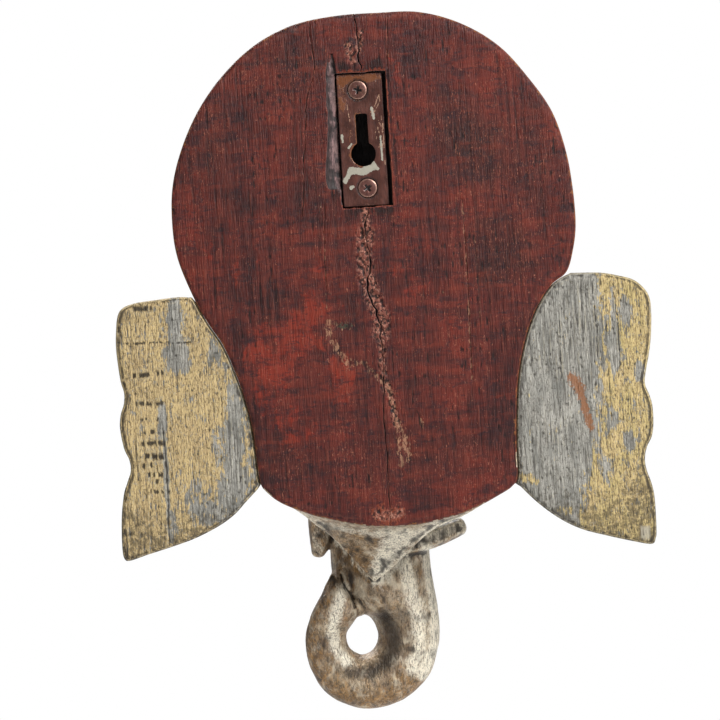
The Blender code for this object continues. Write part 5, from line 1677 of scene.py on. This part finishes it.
def noise_in(group, given, across, along, **settings):
    """Noise over the Object coordinates, its feature sizes in millimetres, with the group's shift."""
    place = add(group, "ShaderNodeTexCoord", output="Object")
    sizes = [maths(group, "DIVIDE", 1000.0, value) for value in (across, across, along)]
    scale = add(group, "ShaderNodeCombineXYZ", dict(enumerate(sizes)))
    scaled = add(group, "ShaderNodeVectorMath", {0: place, 1: scale}, operation="MULTIPLY")
    shift = add(group, "ShaderNodeCombineXYZ", {1: given["Shift"]})
    moved = add(group, "ShaderNodeVectorMath", {0: scaled, 1: shift}, operation="ADD")
    return add(group, "ShaderNodeTexNoise", {"Vector": moved, "Scale": 1.0, **settings}, "Fac")


# %% The four groups


def grain_group():
    """Grain: 0.5 on average, drawn out along the board."""
    group, given, result = shader_group("fine grain", {
        "Across mm": 0.6, "Along mm": 9.0, "Detail": 2.0, "Contrast": 1.0, "Shift": 0.0,
    })
    grain = noise_in(
        group, given, given["Across mm"], given["Along mm"], Detail=given["Detail"], Roughness=0.6,
    )
    strong = maths(group, "MULTIPLY", maths(group, "SUBTRACT", grain), given["Contrast"])
    group.links.new(maths(group, "ADD", strong, clamp=True), result)
    return group


def patch_group():
    """Worn patches: 1 where the amount beats a ragged noise."""
    group, given, result = shader_group("worn patches", {
        "Amount": 0.5, "Across mm": 4.0, "Along mm": 6.0, "Softness": 0.06, "Shift": 0.0,
    })
    ragged = noise_in(
        group, given, given["Across mm"], given["Along mm"], Detail=5.0, Roughness=0.72, Distortion=0.4,
    )
    spread = add(group, "ShaderNodeMapRange", {"Value": ragged, "From Min": 0.28, "From Max": 0.72})
    lead = maths(group, "SUBTRACT", given["Amount"], spread)
    low = maths(group, "MULTIPLY", given["Softness"], -1.0)
    group.links.new(span(group, lead, low, given["Softness"]), result)
    return group


def speckle_group():
    """Speckles: small ragged dots that cover about a given share."""
    group, given, result = shader_group("speckle", {
        "Size mm": 0.8, "Stretch": 1.5, "Share": 0.2, "Shift": 0.0,
    })
    along = maths(group, "MULTIPLY", given["Size mm"], given["Stretch"])
    dots = noise_in(group, given, given["Size mm"], along, Detail=2.5, Roughness=0.65, Distortion=0.9)
    level = add(group, "ShaderNodeMapRange", {"Value": given["Share"], "To Min": 0.72, "To Max": 0.3})
    group.links.new(span(group, maths(group, "SUBTRACT", dots, level), -0.02, 0.05), result)
    return group


def grime_group():
    """Grime: a colour darkened in hollows and cleared on ridges."""
    group, given, result = shader_group("grime", {
        "Colour": (0.5, 0.5, 0.5, 1.0), "Dirt": (0.02, 0.017, 0.014, 1.0), "Ridge": (0.6, 0.55, 0.5, 1.0),
        "Hollow": 0.5, "Dirt strength": 0.8, "Ridge strength": 0.3,
    }, "NodeSocketColor")
    dirt = maths(group, "MULTIPLY", span(group, given["Hollow"], 0.52, 0.85), given["Dirt strength"])
    ridge = maths(group, "MULTIPLY", span(group, given["Hollow"], 0.48, 0.2), given["Ridge strength"])
    cleared = mix(group, ridge, given["Colour"], given["Ridge"])
    group.links.new(mix(group, dirt, cleared, given["Dirt"]), result)
    return group


GRAIN, PATCHES, SPECKLE, GRIME = grain_group(), patch_group(), speckle_group(), grime_group()
print("node groups:", [group.name for group in (GRAIN, PATCHES, SPECKLE, GRIME)])

# %% [markdown]
# ## The finishes
#
# Each finish is built like the real one, from the ground up: wood or priming first, then paint or
# metal leaf where it has held, then dirt in the hollows, and last the small bumps that catch the
# light. The paint on the back is red-brown and streaky, with pale ticks on its grain painted as
# highlights; the gilding on the carving has tarnished to pewter with gold left in places, with
# painted highlights and painted shade on the trunk, lip and tusks; the split wood is painted darker
# as shade the deeper it lies; and the ears show gold flakes over grey. A small class keeps the
# colour so far, so that each line of a finish is one coat.

# %% A finish, coat by coat


class Finish:
    """A surface under way. Sizes are in millimetres, colours are screen values."""

    def __init__(self, name):
        self.surface = bpy.data.materials.new(name)
        self.surface.use_nodes = True
        self.tree = self.surface.node_tree
        self.tree.nodes.clear()
        self.colour = None

    def use(self, group, *values):
        return add(self.tree, "ShaderNodeGroup", dict(enumerate(values)), node_tree=group)

    def grain(self, across, along, contrast, shift=0.0, detail=2.0):
        return self.use(GRAIN, across, along, detail, contrast, shift)

    def patches(self, amount, across, along, softness=0.06, shift=0.0):
        return self.use(PATCHES, amount, across, along, softness, shift)

    def speckle(self, size, stretch, share, shift):
        return self.use(SPECKLE, size, stretch, share, shift)

    def maths(self, operation, first, second, clamp=False):
        return maths(self.tree, operation, first, second, clamp)

    def span(self, *values):
        return span(self.tree, *values)

    def mark(self, name, share=1.0):
        """A stored attribute of the piece, or a share of it."""
        value = add(self.tree, "ShaderNodeAttribute", None, "Fac", attribute_name=name)
        return value if share == 1.0 else self.maths("MULTIPLY", value, share)

    def ground(self, value, first, second):
        """The first coat: one colour where the value is 0, another where it is 1."""
        self.colour = mix(self.tree, value, srgb(*first), srgb(*second))

    def coat(self, colour, cover, strength=1.0):
        """One colour over all so far, where the cover says."""
        if strength != 1.0:
            cover = self.maths("MULTIPLY", cover, strength)
        self.colour = mix(self.tree, cover, self.colour, srgb(*colour))

    def streaks(self, *rows):
        """Coats that grow from nothing to a strength while a value goes from low to high."""
        for value, low, high, strength, colour in rows:
            self.coat(colour, self.span(value, low, high, 0.0, strength))

    def grime(self, dirt, dirt_strength, ridge, ridge_strength):
        self.colour = self.use(
            GRIME, self.colour, srgb(*dirt), srgb(*ridge), self.mark("hollow"),
            dirt_strength, ridge_strength,
        )

    def done(self, *bumps, **settings):
        """The shader, with a normal from several values, each (value, height in millimetres)."""
        inputs = {label.replace("_", " "): value for label, value in settings.items()}
        total = 0.0
        for value, height in bumps:
            total = self.maths("ADD", total, self.maths("MULTIPLY", value, height))
        if bumps:
            bump = {"Strength": 1.0, "Distance": MM, "Height": total}
            inputs["Normal"] = add(self.tree, "ShaderNodeBump", bump)
        shader = add(self.tree, "ShaderNodeBsdfPrincipled", {"Base Color": self.colour, **inputs})
        self.tree.links.new(shader, self.tree.nodes.new("ShaderNodeOutputMaterial").inputs[0])
        return self.surface


# %% Worn red-brown paint


def worn_red_paint():
    paint = Finish("worn red-brown paint")
    cloud = paint.grain(22, 30, 2.8, detail=3)
    streak = paint.grain(1.6, 34, 2, shift=3)
    thread = paint.grain(0.42, 8, 2.4, shift=7)
    sweep = paint.grain(30, 4.6, 2.8, shift=5, detail=3.5)
    dark = paint.mark("dark")
    paint.ground(cloud, (58, 27, 27), (116, 41, 30))
    paint.coat((146, 48, 30), paint.patches(paint.mark("bright", 0.72), 7, 9, 0.16, 4), 0.8)
    paint.coat((54, 27, 25), dark, 0.65)
    paint.streaks(
        (streak, 0.4, 0.85, 0.24, (126, 58, 44)), (streak, 0.45, 0.15, 0.4, (46, 24, 22)),
        (sweep, 0.55, 0.9, 0.34, (134, 54, 36)), (sweep, 0.42, 0.12, 0.45, (42, 24, 26)),
        (thread, 0.66, 0.98, 0.34, (150, 84, 66)), (thread, 0.36, 0.08, 0.34, (36, 18, 17)),
    )
    paint.coat((38, 25, 32), paint.patches(0.34, 11, 4.5, 0.16, 5), 0.6)
    paint.coat((34, 24, 32), paint.patches(0.27, 4.2, 1.8, 0.1, 6), 0.6)
    flaked = paint.patches(paint.mark("orange", 0.75), 2.6, 3, shift=9)
    paint.coat((142, 66, 42), flaked, 0.8)
    paint.coat((132, 78, 64), paint.patches(paint.mark("crumble", 0.78), 1.6, 2, shift=11), 0.8)
    lumps = paint.maths("MULTIPLY", paint.speckle(1.1, 1.4, 0.42, 12), paint.mark("crumble", 0.9))
    paint.coat((206, 146, 124), lumps)
    paint.coat((184, 138, 108), paint.patches(paint.mark("scuff", 0.54), 1.1, 2.6, shift=13), 0.7)
    paint.coat((74, 80, 64), paint.patches(paint.mark("green", 0.7), 1.4, 1.4, shift=15), 0.8)
    # Pale pink ticks along the grain: painted highlights where the raised grain catches the light.
    highlight_ticks = paint.speckle(0.34, 5, paint.span(paint.maths("ADD", cloud, dark), 0.3, 1, 0.1, 0.24), 17)
    paint.coat((182, 112, 88), highlight_ticks, 0.75)
    paint.coat((184, 118, 96), paint.speckle(1, 1.8, 0.07, 18), 0.7)
    paint.coat((150, 96, 48), paint.patches(paint.mark("rim", 0.5), 2.4, 2.4, shift=19), 0.8)
    paint.grime((22, 11, 11), 0.85, (134, 76, 62), 0.28)
    return paint.done(
        (streak, 0.12), (thread, 0.18), (highlight_ticks, 0.06), (flaked, 0.06), (sweep, 0.05),
        Roughness=paint.span(cloud, 0.2, 0.8, 0.4, 0.52), Specular_IOR_Level=0.22,
    )


# %% Tarnished gilding on the carving


def tarnished_gilding():
    gilt = Finish("tarnished gilding")
    broad = gilt.grain(8, 11, 3, detail=3)
    brushed = gilt.grain(0.7, 2.4, 3, shift=2)
    warm = gilt.mark("warm")
    gilt.ground(broad, (136, 112, 86), (206, 184, 152))
    gilt.coat((150, 122, 106), gilt.patches(0.42, 7, 8, 0.25, 4), 0.5)
    # Dark brown by the same strokes: partly the gilding's own brown, partly painted shade where the curl
    # turns from the light.
    gilt.streaks((warm, 0, 1, 0.85, (98, 72, 44)))
    amount = gilt.maths("ADD", gilt.maths("MULTIPLY", warm, 0.34), 0.22)
    gilt.coat((196, 148, 86), gilt.patches(amount, 3.2, 4.2, 0.4, 6), 0.75)
    # Painted highlights: pale silver where the carving faces the light, given at full brightness.
    highlight = gilt.patches(gilt.mark("silver", 1.2), 2.6, 4.4, 0.6, 7)
    gilt.coat((242, 234, 214, 1), highlight, 0.85)
    gilt.streaks((brushed, 0.44, 0.12, 0.6, (74, 60, 46)))
    speck = gilt.speckle(0.62, 1.5, 0.4, 8)
    gilt.coat((66, 54, 42), speck, 0.5)
    gilt.coat((190, 122, 52), gilt.speckle(2.2, 0.8, 0.06, 10), 0.6)
    # Painted shade: dark where the curl, lip and tusks turn from the light.
    gilt.streaks((gilt.mark("soot"), 0, 1, 0.85, (44, 37, 31)))
    gilt.grime((38, 31, 25), 0.9, (232, 220, 196, 1), 0.4)
    # The painted highlights are made less metallic, so that they stay bright.
    less_metal_in_highlight = gilt.maths("MULTIPLY", highlight, 0.35)
    return gilt.done(
        (brushed, 0.26), (speck, -0.16), (broad, 0.5),
        Metallic=gilt.maths("SUBTRACT", gilt.span(speck, 0, 1, 0.5, 0.15), less_metal_in_highlight, clamp=True),
        Roughness=gilt.span(brushed, 0.2, 0.8, 0.46, 0.34),
    )


# %% Bare split wood in the pocket and the cracks


def split_wood():
    wood = Finish("split wood")
    fibre = wood.grain(0.7, 7, 2.6, shift=1)
    wood.ground(fibre, (34, 25, 26), (152, 118, 116))
    wood.coat((46, 32, 32), wood.patches(0.5, 2.4, 4.5, 0.15, 3), 0.6)
    # Painted shade: split wood is painted darker the deeper it lies below the back, in the cracks, the
    # pocket and the keyhole room.
    wood.streaks((wood.mark("deep"), 0.35, 0.8, 0.9, (20, 13, 12)))
    wood.grime((24, 15, 14), 0.8, (150, 118, 112), 0.3)
    return wood.done((fibre, 0.18), Roughness=0.6, Specular_IOR_Level=0.35)


# %% Gold flakes over grey, for the ears


def flaked_gold(name, gold, shift):
    ear = Finish(name)
    broad = ear.grain(6, 16, 2.6, shift, 3)
    streak = ear.grain(0.6, 9, 2.6, shift + 1)
    thread = ear.grain(0.34, 2.2, 3, shift + 2)
    ear.ground(broad, gold, (230, 202, 144))
    ear.streaks((thread, 0.42, 0.12, 0.85, (118, 98, 66)), (streak, 0.4, 0.1, 0.5, (138, 114, 74)))
    leaf = ear.colour
    ear.ground(broad, (132, 131, 124), (190, 186, 175))
    ear.streaks(
        (streak, 0.45, 0.12, 0.6, (82, 78, 70)), (streak, 0.6, 0.9, 0.55, (204, 201, 190)),
        (thread, 0.4, 0.1, 0.5, (88, 82, 72)),
    )
    frayed = ear.maths("MULTIPLY", ear.maths("SUBTRACT", streak, 0.5), 0.5)
    flakes = ear.patches(ear.maths("ADD", ear.mark("gilt"), frayed), 2.2, 4.2, 0.07, shift + 3)
    pinholes = ear.maths("MULTIPLY", ear.patches(0.27, 0.9, 1.5, 0.05, shift + 8), 0.75)
    flakes = ear.maths("SUBTRACT", flakes, pinholes, clamp=True)
    ear.colour = mix(ear.tree, flakes, ear.colour, leaf)
    speck = ear.speckle(0.75, 1.2, 0.33, shift + 4)
    ear.coat((76, 66, 50), speck, 0.5)
    # Darker towards the bottom of the ear and at its tip.
    ear.coat((70, 60, 42), ear.patches(ear.mark("soot", 0.55), 3, 3, 0.2, shift + 5), 0.66)
    ear.coat((44, 35, 24), ear.mark("dashes"), 0.9)
    ear.coat((156, 98, 54), ear.patches(ear.mark("rust", 0.85), 1.4, 1.6, 0.14, shift + 7), 0.85)
    ear.coat((196, 188, 168), ear.mark("pale"), 0.8)
    ear.grime((46, 38, 27), 0.85, (226, 212, 176), 0.3)
    ear.coat((44, 36, 28), ear.patches(ear.mark("rim", 0.6), 1.5, 1.5, 0.2, shift + 6), 0.9)
    return ear.done(
        (streak, 0.2), (thread, 0.14), (flakes, 0.06), (speck, -0.12),
        Metallic=ear.span(flakes, 0, 1, 0.04, 0.12), Roughness=0.52, Specular_IOR_Level=0.4,
    )


# %% Painted and rusted steel, and the floor


def painted_plate():
    plate = Finish("painted plate")
    cloud = plate.grain(5, 7, 2.4, detail=3)
    thread = plate.grain(0.5, 3, 2.2, shift=2)
    plate.ground(cloud, (60, 30, 22), (100, 50, 36))
    plate.streaks((thread, 0.42, 0.12, 0.5, (58, 32, 30)))
    rusty = plate.patches(plate.mark("rust", 0.8), 2.4, 3, 0.15, 4)
    plate.coat((124, 70, 34), rusty, 0.85)
    # Darker round the screw seats, and painted shade along the plate's edges.
    plate.coat((38, 24, 22), plate.patches(plate.mark("dark", 0.9), 1.5, 1.5, 0.3, 6), 0.7)
    pale = plate.patches(plate.mark("pale", 1.1), 1.8, 1.8, 0.06, 8)
    plate.coat((178, 172, 156), pale)
    plate.coat((186, 146, 120), plate.patches(plate.mark("scratch"), 0.8, 1.2, 0.15, 10), 0.75)
    return plate.done(
        (cloud, 0.1), (thread, 0.05), (pale, 0.12), (rusty, 0.06),
        Metallic=0.1, Roughness=plate.span(cloud, 0.2, 0.8, 0.36, 0.5),
    )


def worn_screw_steel():
    steel = Finish("worn screw steel")
    cloud = steel.grain(1.6, 1.8, 2.4, detail=3)
    steel.ground(cloud, (84, 48, 42), (122, 76, 66))
    steel.coat((96, 62, 44), steel.patches(steel.mark("rust", 0.55), 1.4, 1.4, 0.2, 2), 0.7)
    rubbed = steel.patches(steel.mark("worn", 0.9), 0.9, 0.9, 0.3, 4)
    steel.coat((186, 146, 130), rubbed, 0.8)
    steel.coat((30, 20, 18), steel.mark("recess"))
    return steel.done((cloud, 0.06), Metallic=steel.span(rubbed, 0, 1, 0.3, 0.7), Roughness=0.42)


def pale_floor():
    ground = Finish("pale floor")
    ground.ground(ground.grain(60, 60, 0.4), (232, 232, 231, 1), (240, 240, 239, 1))
    return ground.done(Roughness=0.7)


# %% Put the finishes on
dress_head(head_piece, [worn_red_paint(), tarnished_gilding(), split_wood()])
for name, (edge, centre, side, node) in EARS.items():
    dress_ear(ear_boards[name], side, edge)
ear_boards["left_ear_board"].data.materials.append(flaked_gold("left ear gold", (214, 186, 134), 0))
ear_boards["right_ear_board"].data.materials.append(flaked_gold("right ear gold", (208, 186, 124), 40))
dress_plate(keyhole_plate)
keyhole_plate.data.materials.append(painted_plate())
dress_screws(hanger_screws)
hanger_screws.data.materials.append(worn_screw_steel())
for piece in (head_piece, *ear_boards.values(), keyhole_plate, hanger_screws):
    piece.data.shade_smooth()
    print(piece.name, triangles_in(piece), "triangles", [slot.name for slot in piece.material_slots])

# %% [markdown]
# ## Fit the pieces to the frame
#
# Each piece rides on the part's one body and stands for the solids that it dresses. The pieces
# stay at the origin, unturned and unscaled, because their shape is already in its place.

# %% Ride, and hide the solids that each piece replaces
BOX_SLACK = 0.005 * MM


def place_piece(piece, slot, *nodes):
    """Keep the piece in the solids' box, and say where it belongs."""
    low, high = np.array(cad_box, float)
    move_points(piece, np.clip(positions(piece), low + BOX_SLACK, high - BOX_SLACK))
    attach(piece, "root")
    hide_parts(*nodes)


place_piece(head_piece, "painted_wood", "head")
for name, (edge, centre, side, node) in EARS.items():
    place_piece(ear_boards[name], "gilded_wood", node)
place_piece(keyhole_plate, "painted_steel", "hanger_plate")
place_piece(hanger_screws, "screw_steel", "upper_screw", "lower_screw")

# %% [markdown]
# ## Camera, light and floor
#
# The camera looks straight at the painted back, turned by the few degrees that the picture is
# turned. A large soft light from the upper right and a bright, even surround give the picture's
# soft shadows. The mask hangs, so the floor lies just under it.

# %% Camera
CAMERA_AWAY = 1.3
CAMERA_X, CAMERA_Z = 6.745 * MM, -107.395 * MM
PICTURE_TURN = math.radians(3.5)
PICTURE_HALF_HEIGHT = 0.1512
camera_data = bpy.data.cameras.new("camera")
camera_data.angle = 2 * math.atan(PICTURE_HALF_HEIGHT / CAMERA_AWAY)
camera = linked("camera", camera_data)
turn_c, turn_s = math.cos(PICTURE_TURN), math.sin(PICTURE_TURN)
camera.matrix_world = Matrix((
    (-turn_c, -turn_s, 0, CAMERA_X),
    (0, 0, 1, BACK_Y + CAMERA_AWAY),
    (-turn_s, turn_c, 0, CAMERA_Z),
    (0, 0, 0, 1),
))
bpy.context.scene.camera = camera

# %% Light and floor
TARGET = Vector((0, 0, -0.11))


def soft_light(name, place, size, power):
    data = bpy.data.lights.new(name, "AREA")
    data.shape = "DISK"
    data.size = size
    data.energy = power
    made = linked(name, data)
    made.location = place
    made.rotation_euler = (TARGET - Vector(place)).to_track_quat("-Z", "Y").to_euler()


def white_surround(seen, given):
    """A world that looks white and lights the mask only softly."""
    world = bpy.data.worlds.new("white surround")
    world.use_nodes = True
    tree = world.node_tree
    tree.nodes.clear()
    shown = add(tree, "ShaderNodeBackground", {"Color": (1, 1, 1, 1), "Strength": seen})
    lit = add(tree, "ShaderNodeBackground", {"Color": (1, 1, 1, 1), "Strength": given})
    direct = add(tree, "ShaderNodeLightPath", output="Is Camera Ray")
    both = add(tree, "ShaderNodeMixShader", {0: direct, 1: lit, 2: shown})
    tree.links.new(both, tree.nodes.new("ShaderNodeOutputWorld").inputs[0])
    return world


soft_light("key light", (-0.9, 0.75, 0.65), 0.55, 30)
soft_light("fill light", (0.9, 1.1, 0.1), 1.0, 1.5)
soft_light("front light", (0.5, -1.2, 0.8), 0.9, 24)
bpy.context.scene.world = white_surround(1.0, 0.3)
bpy.context.scene.view_settings.view_transform = "Standard"

FLOOR_HALF = 0.5
FLOOR_Z = -0.34
corners = [(FLOOR_HALF * x, FLOOR_HALF * y, FLOOR_Z) for x, y in ((-1, -1), (1, -1), (1, 1), (-1, 1))]
floor = mesh_object("floor", corners, [(0, 1, 2, 3)], [pale_floor()])
